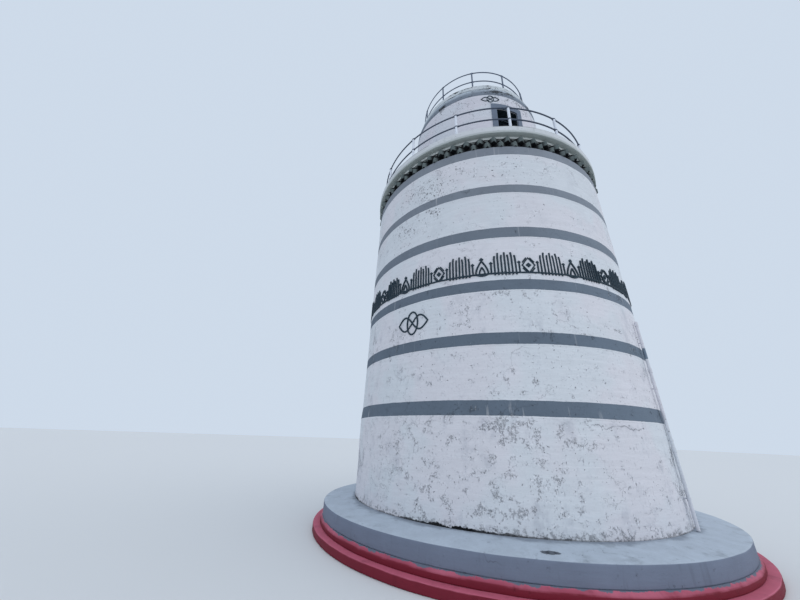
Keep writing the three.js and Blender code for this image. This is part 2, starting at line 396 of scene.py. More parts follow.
WELD = 1e-5
SHARP_FROM = math.radians(35.0)
FULL_TURN = 2 * math.pi
ARC_STEPS = 3
CORNER_SHARE = 0.45
UPRIGHT = 0.9
BALL_SIDES = 12
BALL_SQUASH = 0.95
FRACTAL = (0.6, 2.0, 3)


def place(radius, azimuth, height):
    """The point at a radius and an azimuth in radians."""
    return (radius * math.sin(azimuth), -radius * math.cos(azimuth), height)


def spread(first, last, steps):
    return [first + (last - first) * i / steps for i in range(steps + 1)]


def around(steps):
    """That many turns from 0, evenly round a circle."""
    return spread(0.0, FULL_TURN, steps)[:-1]


def direction(path, i, closed):
    """Where a path heads at its point i, from the point before to the point after."""
    before = path[i - 1] if closed or i else path[i]
    after = path[(i + 1) % len(path)] if closed or i < len(path) - 1 else path[i]
    return (Vector(after) - Vector(before)).normalized()


def resampled(profile, step):
    """A (radius, height) profile with points no further apart than step."""
    points = [profile[0]]
    for (r0, z0), (r1, z1) in zip(profile, profile[1:]):
        count = max(1, math.ceil(math.hypot(r1 - r0, z1 - z0) / step))
        points += [(r0 + (r1 - r0) * i / count, z0 + (z1 - z0) * i / count) for i in range(1, count + 1)]
    return points


def rounded(profile, radius):
    """A profile with each inner corner cut by a small arc."""
    points = [profile[0]]
    for before, corner, after in zip(profile, profile[1:], profile[2:]):
        b, c, a = Vector(before), Vector(corner), Vector(after)
        reach = min(radius, (b - c).length * CORNER_SHARE, (a - c).length * CORNER_SHARE)
        start = c + (b - c).normalized() * reach
        end = c + (a - c).normalized() * reach
        for share in spread(0.0, 1.0, ARC_STEPS):
            points.append(tuple(start.lerp(c, share).lerp(c.lerp(end, share), share)))
    points.append(profile[-1])
    return points


def wander(point, scale, seed):
    """Smooth noise from -1 to 1 at a point."""
    return noise.fractal(Vector(point) * scale + Vector((seed, 0.0, 0.0)), *FRACTAL)


def drift(point, layers):
    """How far a surface strays at a point, from layers of (amount, scale, seed)."""
    return sum(amount * wander(point, scale, seed) for amount, scale, seed in layers)


class Solid:
    """Vertices and faces that become one piece."""

    def __init__(self):
        self.vertices = []
        self.faces = []

    def grid(self, rows, closed_rows=False, closed_columns=False):
        """Faces between rows of equally many points."""
        start = len(self.vertices)
        width = len(rows[0])
        for row in rows:
            self.vertices += row
        row_count = len(rows) if closed_rows else len(rows) - 1
        column_count = width if closed_columns else width - 1
        for i in range(row_count):
            below = start + i * width
            above = start + ((i + 1) % len(rows)) * width
            for j in range(column_count):
                k = (j + 1) % width
                self.faces.append((below + j, below + k, above + k, above + j))

    def loft(self, rows, closed=False):
        """A skin over loops of points, capped at both ends unless it runs back into itself."""
        self.grid(rows, closed_rows=closed, closed_columns=True)
        for row in () if closed else (rows[0], rows[-1]):
            start = len(self.vertices)
            self.vertices += row
            self.faces.append(tuple(range(start, start + len(row))))

    def lathe(self, outline, segments, shape=None):
        """A closed (radius, height) outline turned round, whose points a shape function may move."""
        rows = []
        for radius, height in outline:
            row = []
            for azimuth in around(segments):
                r, z = shape(radius, azimuth, height) if shape else (radius, height)
                row.append(place(r, azimuth, z))
            rows.append(row)
        self.grid(rows, closed_rows=True, closed_columns=True)

    def tube(self, path, radius, sides, closed=False):
        """A round tube along a path, with flat ends if it is open."""
        rings = []
        for i, point in enumerate(path):
            along = direction(path, i, closed)
            outwards = Vector((point[0], point[1], 0)).normalized()
            guide = Vector((0, 0, 1)) if abs(along.z) < UPRIGHT else outwards
            side = along.cross(guide).normalized()
            up = side.cross(along)
            ring = []
            for k in range(sides):
                turn = FULL_TURN * k / sides
                ring.append(tuple(Vector(point) + radius * (math.cos(turn) * side + math.sin(turn) * up)))
            rings.append(ring)
        self.loft(rings, closed)

    def ball(self, centre, radius):
        """A small round knuckle, a little squashed."""
        x, y, z = centre
        turns = around(BALL_SIDES)
        rows = []
        for lift in spread(0.0, math.pi, BALL_SIDES // 2)[1:-1]:
            reach = radius * math.sin(lift)
            level = z - radius * BALL_SQUASH * math.cos(lift)
            rows.append([(x + reach * math.cos(turn), y + reach * math.sin(turn), level) for turn in turns])
        self.loft(rows)

    def piece(self, name, finish, slot, nodes=(), wear=None, damp=None):
        """Makes the welded object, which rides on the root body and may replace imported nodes."""
        mesh = bpy.data.meshes.new(name)
        mesh.from_pydata(self.vertices, [], self.faces)
        edit = bmesh.new()
        edit.from_mesh(mesh)
        bmesh.ops.remove_doubles(edit, verts=edit.verts, dist=WELD)
        bmesh.ops.dissolve_degenerate(edit, edges=edit.edges, dist=WELD)
        bmesh.ops.recalc_face_normals(edit, faces=edit.faces)
        edit.to_mesh(mesh)
        edit.free()
        mesh.shade_smooth()
        mesh.set_sharp_from_angle(angle=SHARP_FROM)
        mesh.materials.append(finish)
        for label, amount_at in (("wear", wear), ("damp", damp)):
            if amount_at:
                self.weather(mesh, label, amount_at)
        obj = bpy.data.objects.new(name, mesh)
        bpy.context.scene.collection.objects.link(obj)
        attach(obj, "root")
        if nodes:
            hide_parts(*nodes)
        return obj

    def weather(self, mesh, label, amount_at):
        """Stores a value for each point that the finishes read."""
        layer = mesh.attributes.new(label, "FLOAT", "POINT")
        for item, vertex in zip(layer.data, mesh.vertices):
            x, y, z = vertex.co
            item.value = amount_at(math.degrees(math.atan2(x, -y)), z)


# Shader helpers


class Wire:
    """A node's output that can stand in a Python expression."""

    def __init__(self, finish, socket):
        self.finish = finish
        self.socket = socket

    def maths(self, operation, first, second):
        return self.finish.node("ShaderNodeMath", {"operation": operation}, {0: first, 1: second})

    def __add__(self, other):
        return self.maths("ADD", self, other)

    def __radd__(self, other):
        return self.maths("ADD", other, self)

    def __sub__(self, other):
        return self.maths("SUBTRACT", self, other)

    def __rsub__(self, other):
        return self.maths("SUBTRACT", other, self)

    def __mul__(self, other):
        return self.maths("MULTIPLY", self, other)

    def __rmul__(self, other):
        return self.maths("MULTIPLY", other, self)


class Finish:
    """Builds the nodes of one material, and holds its colour and its relief while they are made."""

    DULL = 0.3
    HAIR = (0.0006, 0.0032)

    def __init__(self, name):
        self.material = bpy.data.materials.new(name)
        self.material.use_nodes = True
        self.tree = self.material.node_tree
        self.tree.nodes.clear()
        self.point = self.node("ShaderNodeTexCoord", {}, {}, "Object")
        self.x, self.y, self.height = self.parts(self.point)
        self.colour = None
        self.relief = None

    def node(self, kind, options, inputs, output=0):
        """Adds a node with its options, then its inputs, and returns one output, or the node for None."""
        node = self.tree.nodes.new(kind)
        for name, value in options.items():
            if name == "stops":
                self.set_stops(node.color_ramp, value)
            else:
                setattr(node, name, value)
        for name, value in inputs.items():
            if isinstance(value, Wire):
                self.tree.links.new(value.socket, node.inputs[name])
            else:
                node.inputs[name].default_value = value
        return node if output is None else Wire(self, node.outputs[output])

    def set_stops(self, ramp, stops):
        """Gives a ramp hard steps at (position, value) pairs."""
        ramp.interpolation = "CONSTANT"
        while len(ramp.elements) > 1:
            ramp.elements.remove(ramp.elements[-1])
        for i, (position, value) in enumerate(stops):
            element = ramp.elements[0] if i == 0 else ramp.elements.new(position)
            element.position = position
            element.color = (value, value, value, 1.0)

    def parts(self, vector):
        """The three parts of a vector."""
        node = self.node("ShaderNodeSeparateXYZ", {}, {0: vector}, None)
        return [Wire(self, node.outputs[i]) for i in range(3)]

    def up(self):
        """The upward part of the surface's direction: 1 on a floor, -1 on a soffit."""
        return self.parts(self.node("ShaderNodeNewGeometry", {}, {}, "Normal"))[2]

    def plan_length(self, x, y):
        """The length on plan of a vector with these two parts."""
        plan = self.node("ShaderNodeCombineXYZ", {}, {0: x, 1: y})
        return self.node("ShaderNodeVectorMath", {"operation": "LENGTH"}, {0: plan}, "Value")

    def radius(self):
        """The distance from the tower's axis."""
        return self.plan_length(self.x, self.y)

    def azimuth(self):
        """Degrees from the doorway, growing towards +X."""
        turn = self.node("ShaderNodeMath", {"operation": "ARCTAN2"}, {0: self.x, 1: self.y * -1.0})
        return turn * (180.0 / math.pi)

    def unsigned(self, value):
        return self.node("ShaderNodeMath", {"operation": "ABSOLUTE"}, {0: value})

    def attribute(self, name):
        """A value stored on the mesh, or 0 where it has none."""
        return self.node("ShaderNodeAttribute", {"attribute_name": name}, {}, "Fac")

    def noise(self, scale, detail, roughness, stretch=(1, 1, 1), offset=(0, 0, 0)):
        """Noise with that many features a metre, squeezed along the axes by stretch."""
        inputs = {"Vector": self.point, "Scale": stretch, "Location": offset}
        where = self.node("ShaderNodeMapping", {}, inputs)
        return self.node(
            "ShaderNodeTexNoise",
            {"noise_dimensions": "3D"},
            {"Vector": where, "Scale": scale, "Detail": detail, "Roughness": roughness},
        )

    def rise(self, value, low, high):
        """0 below low, 1 above high and a smooth step between."""
        return self.node(
            "ShaderNodeMapRange",
            {"interpolation_type": "SMOOTHSTEP", "clamp": True},
            {"Value": value, "From Min": low, "From Max": high},
        )

    def fall(self, value, low, high):
        """1 below low, 0 above high and a smooth step between."""
        return 1.0 - self.rise(value, low, high)

    def spots(self, low, high, scale, detail, roughness, **where):
        """The patches where a noise rises above low, full where it is above high."""
        return self.rise(self.noise(scale, detail, roughness, **where), low, high)

    def hairline(self, scale, offset):
        """Thin wandering lines where a noise crosses its middle, only in some places."""
        trace = self.noise(scale, 5.0, 0.62, offset=offset)
        some = self.spots(0.53, 0.60, scale * 0.8, 2.0, 0.5, offset=offset[::-1])
        return self.fall(self.unsigned(trace - 0.5), *self.HAIR) * some

    def crown_lumps(self, share):
        """The noise that says where the crown has rotted, with a share of its stored wear."""
        lumps = self.noise(9.0, 6.0, 0.76, stretch=(1, 1, 2), offset=(0, 8, 0))
        return lumps + self.attribute("wear") * share

    def steps(self, value, first, last, levels):
        """A value that changes at given levels between first and last."""
        stops = [((at - first) / (last - first), amount) for at, amount in levels]
        share = (value - first) * (1.0 / (last - first))
        return self.node("ShaderNodeValToRGB", {"stops": stops}, {"Fac": share}, "Color")

    def lay(self, mask, paint):
        """Lays a paint over the colour so far, as thickly as the mask says."""
        self.colour = self.blend(mask, self.colour, paint)

    def sink(self, depth):
        """Lowers the relief so far, as for a crack or a flake."""
        self.relief = self.relief - depth

    def blend(self, share, first, second):
        """A colour between two colours."""
        return self.mix("MIX", share, first, second)

    def shade(self, amount, colour):
        """A colour made darker or lighter by a value about 1."""
        grey = self.node("ShaderNodeCombineColor", {}, {0: amount, 1: amount, 2: amount})
        return self.mix("MULTIPLY", 1.0, colour, grey)

    def mix(self, kind, share, first, second):
        first, second = (c if isinstance(c, Wire) else (*c, 1.0) for c in (first, second))
        return self.node(
            "ShaderNodeMix",
            {"data_type": "RGBA", "blend_type": kind, "clamp_factor": True},
            {"Factor": share, 6: first, 7: second},
            2,
        )

    def surface(self, roughness, depth=0.0):
        """A matt surface of the colour, with a bump as deep as given where there is a relief."""
        inputs = {"Base Color": self.colour, "Roughness": roughness, "Specular IOR Level": self.DULL}
        if self.relief is not None:
            bump = {"Height": self.relief, "Distance": depth, "Strength": 1.0}
            inputs["Normal"] = self.node("ShaderNodeBump", {}, bump)
        body = self.node("ShaderNodeBsdfPrincipled", {}, inputs)
        self.node("ShaderNodeOutputMaterial", {}, {"Surface": body}, None)
        return self.material


# Finishes

# Black for mould and rot, and for painted shade: in the dogtooth's recesses and undersides, on the fillet
# behind the teeth, under the roof's edge and in the joint at the wall's foot
BLACK_MOULD_AND_SHADE = (0.004, 0.005, 0.007)
ROOM_PLASTER = (0.46, 0.55, 0.62)
LICHEN = (0.26, 0.30, 0.27)
RUST = (0.17, 0.075, 0.035)
PITTED_RUST = (0.045, 0.022, 0.014)


def times(colour, share):
    """A colour with each part multiplied by a number or by its own share."""
    shares = share if isinstance(share, tuple) else (share, share, share)
    return tuple(part * each for part, each in zip(colour, shares))


class Wash(Finish):
    """Lime wash brushed on in thin coats: strokes, peeled flecks, cracks, painted bands and a damp foot."""

    # Two tints of the wash, the heights between which painted shade darkens it slightly towards the top, and
    # those between which its wear turns crisper

    COOL = (0.970, 0.998, 1.005)
    ROSY = (1.012, 0.986, 0.998)
    SHADED_ALOFT_FROM = (4.2, 6.5)
    CRISP_FROM = (3.0, 5.0)

    # The long crack's half width in metres and its faint ends in degrees, and the crust above the foot

    CRACK_EDGE = (0.003, 0.012)
    CRACK_END = 1.5
    CRUST = (0.02, 0.16)

    # The bands: the margin beyond the outer ones, the ridge below each, and the azimuths where painted light
    # makes them lighter on one side

    MARGIN = 0.4
    RIDGE = (0.034, 0.010)
    LIT_SIDE_GAIN = 0.15
    LIT_SIDE_FROM = (-16.0, 6.0)
    LIT_SIDE_TO = (40.0, 110.0)

    def __init__(self, name, colours, tint=(1.0, 1.0, 1.0)):
        super().__init__(name)
        self.base = times(colours.whitewash, tint)
        self.undercoat = times(colours.undercoat, tint)
        self.wear = self.attribute("wear")
        self.strokes = self.noise(1.9, 5.0, 0.72, stretch=(1, 1, 9))
        self.runs = self.noise(3.2, 4.0, 0.6, stretch=(1, 1, 0.10))
        self.grain = self.noise(60.0, 3.0, 0.7)
        warmth = self.spots(0.42, 0.60, 0.8, 3.0, 0.6)
        coat = self.blend(warmth, times(self.base, self.COOL), times(self.base, self.ROSY))
        # Painted shade: the wash turns a little darker towards the top.
        aloft = self.rise(self.height, *self.SHADED_ALOFT_FROM)
        tone = 0.815 + self.strokes * 0.24 + self.runs * 0.08 + self.grain * 0.09 - aloft * 0.04
        self.colour = self.shade(tone, coat)
        fresh = self.spots(0.55, 0.66, 2.4, 5.0, 0.72, stretch=(1, 1, 14), offset=(0, 2, 6))
        self.lay(fresh * 0.45, times(self.base, 1.12))
        self.relief = self.strokes * 0.5 + self.grain * 0.10 + self.noise(2.6, 4.0, 0.6) * 0.6

    def peel(self, strength=1.0):
        """Soft smudges, then clusters of small flecks where the wash has flaked, some down to dark render,
        and pale specks beside them that are partly painted highlight.
        """
        smudge = self.spots(0.52, 0.72, 2.7, 5.0, 0.70, stretch=(1, 1, 0.7), offset=(7.7, 0, 0))
        aloft = self.rise(self.height, *self.CRISP_FROM)
        self.lay(smudge * (0.42 - aloft * 0.26) * strength, self.undercoat)
        lumps = self.noise(6.0, 4.0, 0.65, offset=(0, 5.3, 0)) + self.wear * 0.12
        cluster = self.rise(lumps, 0.54, 0.71)
        self.lay(cluster * (0.22 - aloft * 0.14) * strength, self.undercoat)
        flecks = self.noise(40.0, 5.0, 0.80, stretch=(1, 1, 0.8), offset=(3, 0, 8))
        flecks = flecks + cluster * 0.14 - aloft * 0.03
        flaked = self.rise(flecks, 0.625, 0.695)
        self.lay(flaked * (0.28 * strength), times(self.undercoat, 0.62))
        self.lay(self.rise(flecks, 0.70, 0.77) * (0.38 * strength), times(self.undercoat, 0.22))
        # Pale specks in the flaked clusters: loose white flakes, and painted highlight on the flaked edges.
        light = self.rise(self.noise(52.0, 4.0, 0.7, offset=(9, 0, 0)) + cluster * 0.08, 0.58, 0.64)
        self.lay(light * self.rise(lumps, 0.53, 0.64) * (0.85 * strength), times(self.base, 1.22))
        specks = self.noise(22.0, 3.0, 0.6, offset=(1, 1, 1)) + self.wear * (aloft * 0.11)
        dots = self.rise(specks, 0.69, 0.72)
        self.lay(dots * (0.80 * strength), times(self.undercoat, 0.20))
        self.sink(flaked * 0.55)
        self.sink(dots * 0.4)

    def crack(self, strength):
        """Hairlines here and there."""
        line = self.hairline(1.1, (3, 3, 0)) * strength
        self.lay(line * 0.55, times(self.undercoat, 0.35))
        self.sink(line * 0.4)

    def settle_crack(self, low, high, first, last):
        """One long crack that wanders about level between two azimuths and is faint in places."""
        wave = self.noise(2.3, 6.0, 0.68, stretch=(1, 1, 0.05), offset=(9, 0, 0))
        path = (wave - 0.5) * ((high - low) * 2.6) + (low + high) / 2
        azimuth = self.azimuth()
        begun = self.rise(azimuth, first, first + self.CRACK_END)
        within = begun * self.fall(azimuth, last - self.CRACK_END, last)
        clear = self.spots(0.40, 0.56, 5.0, 2.0, 0.5, offset=(2, 0, 7))
        line = self.fall(self.unsigned(self.height - path), *self.CRACK_EDGE) * within
        line = line * (0.3 + 0.7 * clear)
        self.lay(line * 0.6, times(self.undercoat, 0.45))
        self.sink(line * 0.4)

    def foot(self, level):
        """Black in the joint at the foot, partly mould and partly painted shade in the crease, with crumbs of
        mould creeping up.
        """
        damp = self.attribute("damp")
        near = self.fall(self.height, level + self.CRUST[0], level + self.CRUST[1])
        crumbs = self.noise(15.0, 6.0, 0.75, offset=(0, 0, 9)) + near * 0.10
        crust = self.rise(crumbs, 0.60, 0.68) * near
        self.lay(crust * 0.60, times(self.undercoat, 0.40))
        # The black line along the foot: mould, and painted shade where the wall meets the plinth.
        creep = self.noise(4.0, 5.0, 0.74, offset=(0, 2, 0)) - 0.40
        reach = creep * 0.15 * damp + (level + 0.001)
        line = self.fall(self.height - reach, 0.0, 0.012)
        self.lay(line * (0.25 + 0.75 * damp), BLACK_MOULD_AND_SHADE)
        self.sink(crust * 0.3)

    def band(self, bands, lower_paint, upper_paint):
        """Grey bands with hand-cut edges, thin places, drips and a ridge of wash along the lower edge that is
        painted paler as painted highlight.
        """
        wobble = self.noise(1.7, 2.0, 0.5, offset=(1, 0, 0)) * 0.014 + self.noise(16.0, 2.0, 0.5) * 0.008
        level = self.height + (wobble - 0.011)
        first, last = bands[0][0] - self.MARGIN, bands[-1][1] + self.MARGIN
        edges, ridges = [(first, 0.0)], [(first, 0.0)]
        for low, high in bands:
            edges += [(low, 1.0), (high, 0.0)]
            ridges += [(low - self.RIDGE[0], 1.0), (low - self.RIDGE[1], 0.0)]
        painted = self.steps(level, first, last, edges)
        ridge = self.steps(level, first, last, ridges)
        broken = self.spots(0.42, 0.58, 1.2, 3.0, 0.6, offset=(0, 6, 0))
        # The ridge: paler wash with painted highlight along it, and a little relief.
        self.lay(ridge * broken * 0.35, times(self.base, 1.16))
        self.lay(painted, self.band_paint(lower_paint, upper_paint))
        self.relief = self.relief + ridge * 0.25

    def band_paint(self, lower_paint, upper_paint):
        """The bands' paint: patchy, lighter on one side with painted light, rubbed and run over by drips of
        wash.
        """
        faded = self.rise(self.height, UPPER_BANDS_FROM, LEDGE)
        paint = self.blend(faded, lower_paint, upper_paint)
        azimuth = self.azimuth()
        # Painted light: the bands are lighter on the side where the light falls.
        lit_side = self.rise(azimuth, *self.LIT_SIDE_FROM) * self.fall(azimuth, *self.LIT_SIDE_TO)
        patches = self.noise(2.0, 5.0, 0.62, offset=(0, 0, 4))
        paint = self.shade(0.80 + patches * 0.32 + self.strokes * 0.08 + lit_side * self.LIT_SIDE_GAIN, paint)
        trickles = self.noise(17.0, 2.0, 0.5, stretch=(1, 1, 0.04), offset=(2, 2, 0)) + self.wear * 0.10
        drips = self.rise(trickles, 0.66, 0.76) * (self.wear * 0.45 + 0.25)
        rubbed = self.rise(self.noise(22.0, 5.0, 0.7, offset=(4, 4, 4)) + self.wear * 0.07, 0.67, 0.72)
        return self.blend(drips + rubbed * 0.45, paint, times(self.base, 0.72))

    def reveal(self, face, paint):
        """Dark paint on the doorway's reveals, deepened to near black as painted shade, and pale plaster
        inside the drum.
        """
        radius = self.radius()
        self.lay(self.fall(radius, face - 0.03, face - 0.01), paint)
        self.lay(self.fall(radius, WELL_RADIUS + 0.005, WELL_RADIUS + 0.02), ROOM_PLASTER)

    def done(self, depth=0.012):
        return self.surface(0.84 + self.grain * 0.12, depth)


def shaft_finish(colours):
    """The shaft's wash with its painted bands, cracks and damp foot."""
    wash = Wash("shaft whitewash", colours)
    wash.peel()
    wash.crack(0.6)
    wash.settle_crack(*SETTLE_CRACK)
    wash.foot(PLINTH_TOP)
    wash.band(PAINTED_BANDS, colours.band[:], times(colours.band, (1.72, 1.50, 1.36)))
    return wash.done()


def drum_finish(colours):
    """The drum's wash outside, a grey strip with painted shade under the cornice, its reveals darkened with
    painted shade, and its plain plaster inside.
    """
    wash = Wash("drum whitewash", colours, tint=(0.96, 0.95, 0.97))
    wash.peel(0.8)
    wash.crack(1.4)
    # A strip just under the cornice in its grey: the moulding's paint run onto the wall, and painted shade
    # under the moulding.
    cornice_paint_and_shade = wash.rise(wash.height + wash.runs * 0.010, DRUM_TOP - 0.024, DRUM_TOP - 0.018)
    wash.lay(cornice_paint_and_shade, times(colours.moulding, 0.8))
    # Near-black reveals: the surround's paint darkened as painted shade of the doorway.
    wash.reveal(DRUM_RADIUS, times(colours.surround, (0.04, 0.08, 0.09)))
    return wash.done()


def roof_edge_finish(colours):
    """The roof's edge, streaked black by rain from above, painted black underneath as painted shade, and the
    pale ceiling of the room below.
    """
    wash = Wash("roof edge whitewash", colours, tint=(0.90, 0.93, 0.92))
    wash.peel()
    streaks = wash.spots(0.54, 0.66, 4.5, 5.0, 0.7, stretch=(1, 1, 0.35), offset=(6, 0, 2))
    wash.lay(streaks * 0.55, times(wash.undercoat, 0.45))
    wash.lay(wash.rise(wash.crown_lumps(0.13), *ROT_EDGE) * 0.8, BLACK_MOULD_AND_SHADE)
    wash.lay(wash.rise(wash.up(), 0.5, 0.9) * 0.6, times(wash.undercoat, 0.7))
    # Painted shade: the slab's underside is black, except over the room, where it takes the pale ceiling.
    below = wash.fall(wash.up(), -0.9, -0.5)
    wash.lay(below, BLACK_MOULD_AND_SHADE)
    wash.lay(below * wash.fall(wash.radius(), WELL_RADIUS, WELL_RADIUS + 0.05), ROOM_PLASTER)
    return wash.done()


def pipe_finish(colours):
    """Old white paint on the pipe, grey where the band crosses it."""
    wash = Wash("pipe wash", colours, tint=(0.97, 0.97, 0.98))
    wash.peel(0.7)
    wash.band(PAINTED_BANDS[1:2], times(colours.band, 1.2), times(colours.band, 1.2))
    return wash.done(0.004)


class Masonry(Finish):
    """Masonry paint: brushed sides, trodden upper faces and dirt in the hollows."""

    # How far in from a radius the overlap and the wet stain end, and how softly a chip does

    OVERLAP = (0.046, 0.040)
    WET = (0.24, 0.13)
    CHIP_EDGE = 0.018

    def __init__(self, name, paint, upper):
        super().__init__(name)
        self.paint = paint
        self.upward = self.up()
        self.cloud = self.noise(1.5, 5.0, 0.62)
        self.strokes = self.noise(2.4, 5.0, 0.7, stretch=(1, 1, 10))
        self.fine = self.noise(42.0, 3.0, 0.7, offset=(2, 0, 0))
        side = self.shade(0.66 + self.cloud * 0.38 + self.strokes * 0.20 + self.fine * 0.12, paint)
        runs = self.spots(0.56, 0.70, 7.0, 4.0, 0.6, stretch=(1, 1, 0.15), offset=(3, 0, 0))
        side = self.blend(runs * 0.30, side, times(paint, 0.55))
        rubbed = self.noise(4.0, 6.0, 0.7, offset=(0, 3, 0))
        top = self.shade(0.68 + rubbed * 0.48 + self.fine * 0.16, upper)
        stains = self.spots(0.53, 0.68, 2.3, 5.0, 0.70, offset=(8, 1, 0))
        top = self.blend(stains * 0.45, top, times(upper, 0.50))
        self.colour = self.blend(self.rise(self.upward, 0.45, 0.90), side, top)
        grime = self.spots(0.60, 0.70, 10.0, 6.0, 0.74, offset=(5, 0, 0))
        self.lay(grime * 0.25, times(paint, 0.30))
        pits = self.spots(0.68, 0.73, 26.0, 4.0, 0.7, offset=(0, 0, 7))
        self.lay(pits * 0.5, times(paint, 0.35))
        self.relief = self.strokes * 0.4 + self.cloud * 0.4 + self.fine * 0.12 - grime * 0.3 - pits * 0.3

    def arris(self, paint):
        """Paler paint on the rounded edges: rubbed by feet, and painted highlight where the edges turn to the
        light.
        """
        edge = self.rise(self.upward, 0.12, 0.40) * self.fall(self.upward, 0.80, 0.98)
        self.lay(edge * self.rise(self.cloud, 0.36, 0.62) * 0.55, paint)

    def splash(self, radius, paint):
        """The paint of the course above, brushed over the edge in a ragged line."""
        ragged = self.noise(7.0, 5.0, 0.72, offset=(0, 0, 1)) * 0.10
        over = self.fall(self.radius() - ragged, radius - self.OVERLAP[0], radius - self.OVERLAP[1])
        self.lay(over, paint)

    def seep(self, radius):
        """A wet stain that creeps out of the joint at the foot of the wall."""
        reach = self.noise(1.6, 5.0, 0.66, offset=(4, 0, 0)) * 0.50
        wet = self.fall(self.radius() - reach, radius - self.WET[0], radius - self.WET[1])
        self.lay(wet * 0.55, times(self.paint, 0.62))

    def cracks(self):
        line = self.hairline(0.9, (6, 0, 0))
        self.lay(line * 0.6, times(self.paint, 0.30))
        self.sink(line * 0.5)

    def chips(self, places):
        """Holes knocked in the upper face, each round a point on plan."""
        ragged = self.noise(20.0, 4.0, 0.7, offset=(0, 9, 0)) * 0.07
        for x, y, reach in places:
            away = self.plan_length(self.x - x, self.y - y)
            hole = self.fall(away + ragged, reach, reach + self.CHIP_EDGE)
            self.lay(hole * 0.85, times(self.paint, 0.22))
            self.sink(hole)

    def done(self):
        return self.surface(0.66 + self.fine * 0.22, 0.008)


def step_finish(colours):
    """Red paint, pink where it is trodden, under splashes of the plinth's grey."""
    paint = Masonry("red step paint", colours.red[:], colours.tread[:])
    paint.arris(times(colours.tread, (1.25, 1.6, 1.5)))
    paint.splash(PLINTH_RADIUS, times(colours.plinth, 0.72))
    return paint.done()


def plinth_finish(colours):
    """Grey paint with cracks, chips and a stain along the wall."""
    paint = Masonry("grey plinth paint", colours.plinth[:], colours.plinth_top[:])
    paint.seep(SHAFT_FACE[0][0])
    paint.cracks()
    paint.chips(PLINTH_CHIPS)
    return paint.done()


def surround_finish(colours):
    return Masonry("door surround paint", colours.surround[:], colours.surround[:]).done()


def stone_finish(colours):
    """Dogtooth stone: green-grey at the noses, painted black in the recesses and underneath as painted shade.
    """
    f = Finish("dogtooth stone with painted shade")
    lichen = f.noise(9.0, 5.0, 0.7)
    fine = f.noise(45.0, 3.0, 0.7)
    f.colour = f.shade(0.50 + lichen * 0.85 + fine * 0.2, colours.stone[:])
    f.lay(f.spots(0.58, 0.68, 14.0, 5.0, 0.68, offset=(0, 0, 6)) * 0.40, LICHEN)
    # Painted shade: black behind the noses, in the recesses, and on faces turned down.
    nose = f.rise(f.radius() + (lichen - 0.5) * 0.07, *NOSE_FROM)
    f.colour = f.blend(nose, BLACK_MOULD_AND_SHADE, f.colour)
    f.lay(f.fall(f.up(), -0.85, -0.35), BLACK_MOULD_AND_SHADE)
    f.relief = lichen * 0.5 + fine * 0.3
    return f.surface(0.9, 0.012)


def slab_finish(colours):
    """Gallery slab: washed edge with a dark upper line, lichened soffit with painted shade towards the teeth,
    pale fillet with a painted shadow along its foot, and a grey floor.
    """
    f = Finish("gallery slab render")
    up, radius = f.up(), f.radius()
    patches = f.noise(2.2, 5.0, 0.62)
    fine = f.noise(40.0, 3.0, 0.7)
    drips = f.spots(0.52, 0.70, 5.0, 5.0, 0.66, stretch=(1, 1, 0.25))
    f.colour = f.shade(0.86 + patches * 0.16 + fine * 0.08, times(colours.whitewash, (0.93, 0.945, 0.935)))
    f.lay(drips * 0.34, LICHEN)
    f.lay(f.fall(f.height + (drips - 0.5) * 0.04, SOFFIT + 0.010, SOFFIT + 0.055) * 0.45, LICHEN)
    spots = f.spots(0.63, 0.68, 24.0, 5.0, 0.72, offset=(0, 0, 3))
    f.lay(spots * 0.5, times(LICHEN, 0.35))

    below = f.shade(0.66 + patches * 0.5 + fine * 0.16, colours.soffit[:])
    # Painted shade: the soffit darkens towards the teeth, in the corner under the slab.
    inner = f.fall(radius, FILLET_RADIUS, FLOOR_RADIUS - 0.04)
    soffit = f.fall(up, -0.8, -0.3)
    f.lay(soffit, f.blend(inner * 0.30, below, times(colours.soffit, 0.35)))

    washed = f.shade(0.85 + patches * 0.22, times(colours.whitewash, (0.98, 1.0, 0.93)))
    washed = f.blend(drips * 0.4, washed, LICHEN)
    # Painted shadow: the fillet turns black along its foot, behind the upper teeth.
    fillet_shadow = f.fall(f.height + (patches - 0.5) * 0.03, TEETH_TOP + 0.018, TEETH_TOP + 0.034)
    washed = f.blend(fillet_shadow, washed, BLACK_MOULD_AND_SHADE)
    fillet = f.fall(radius, FILLET_RADIUS + 0.008, FILLET_RADIUS + 0.020) * f.fall(up, 0.3, 0.6)
    f.lay(fillet * (1.0 - soffit), washed)

    trodden = f.rise(up, 0.5, 0.9)
    f.lay(trodden, f.shade(0.66 + patches * 0.5 + fine * 0.2, times(colours.undercoat, 0.75)))
    rim = f.rise(f.height, FLOOR_TOP - 0.024, FLOOR_TOP - 0.010) * (1.0 - trodden)
    grime = f.spots(0.46, 0.54, 0.9, 3.0, 0.6, offset=(0, 4, 0))
    f.lay(rim * grime * 0.75, times(colours.undercoat, 0.12))
    f.relief = patches * 0.4 + fine * 0.2 - spots * 0.3
    return f.surface(0.88, 0.008)


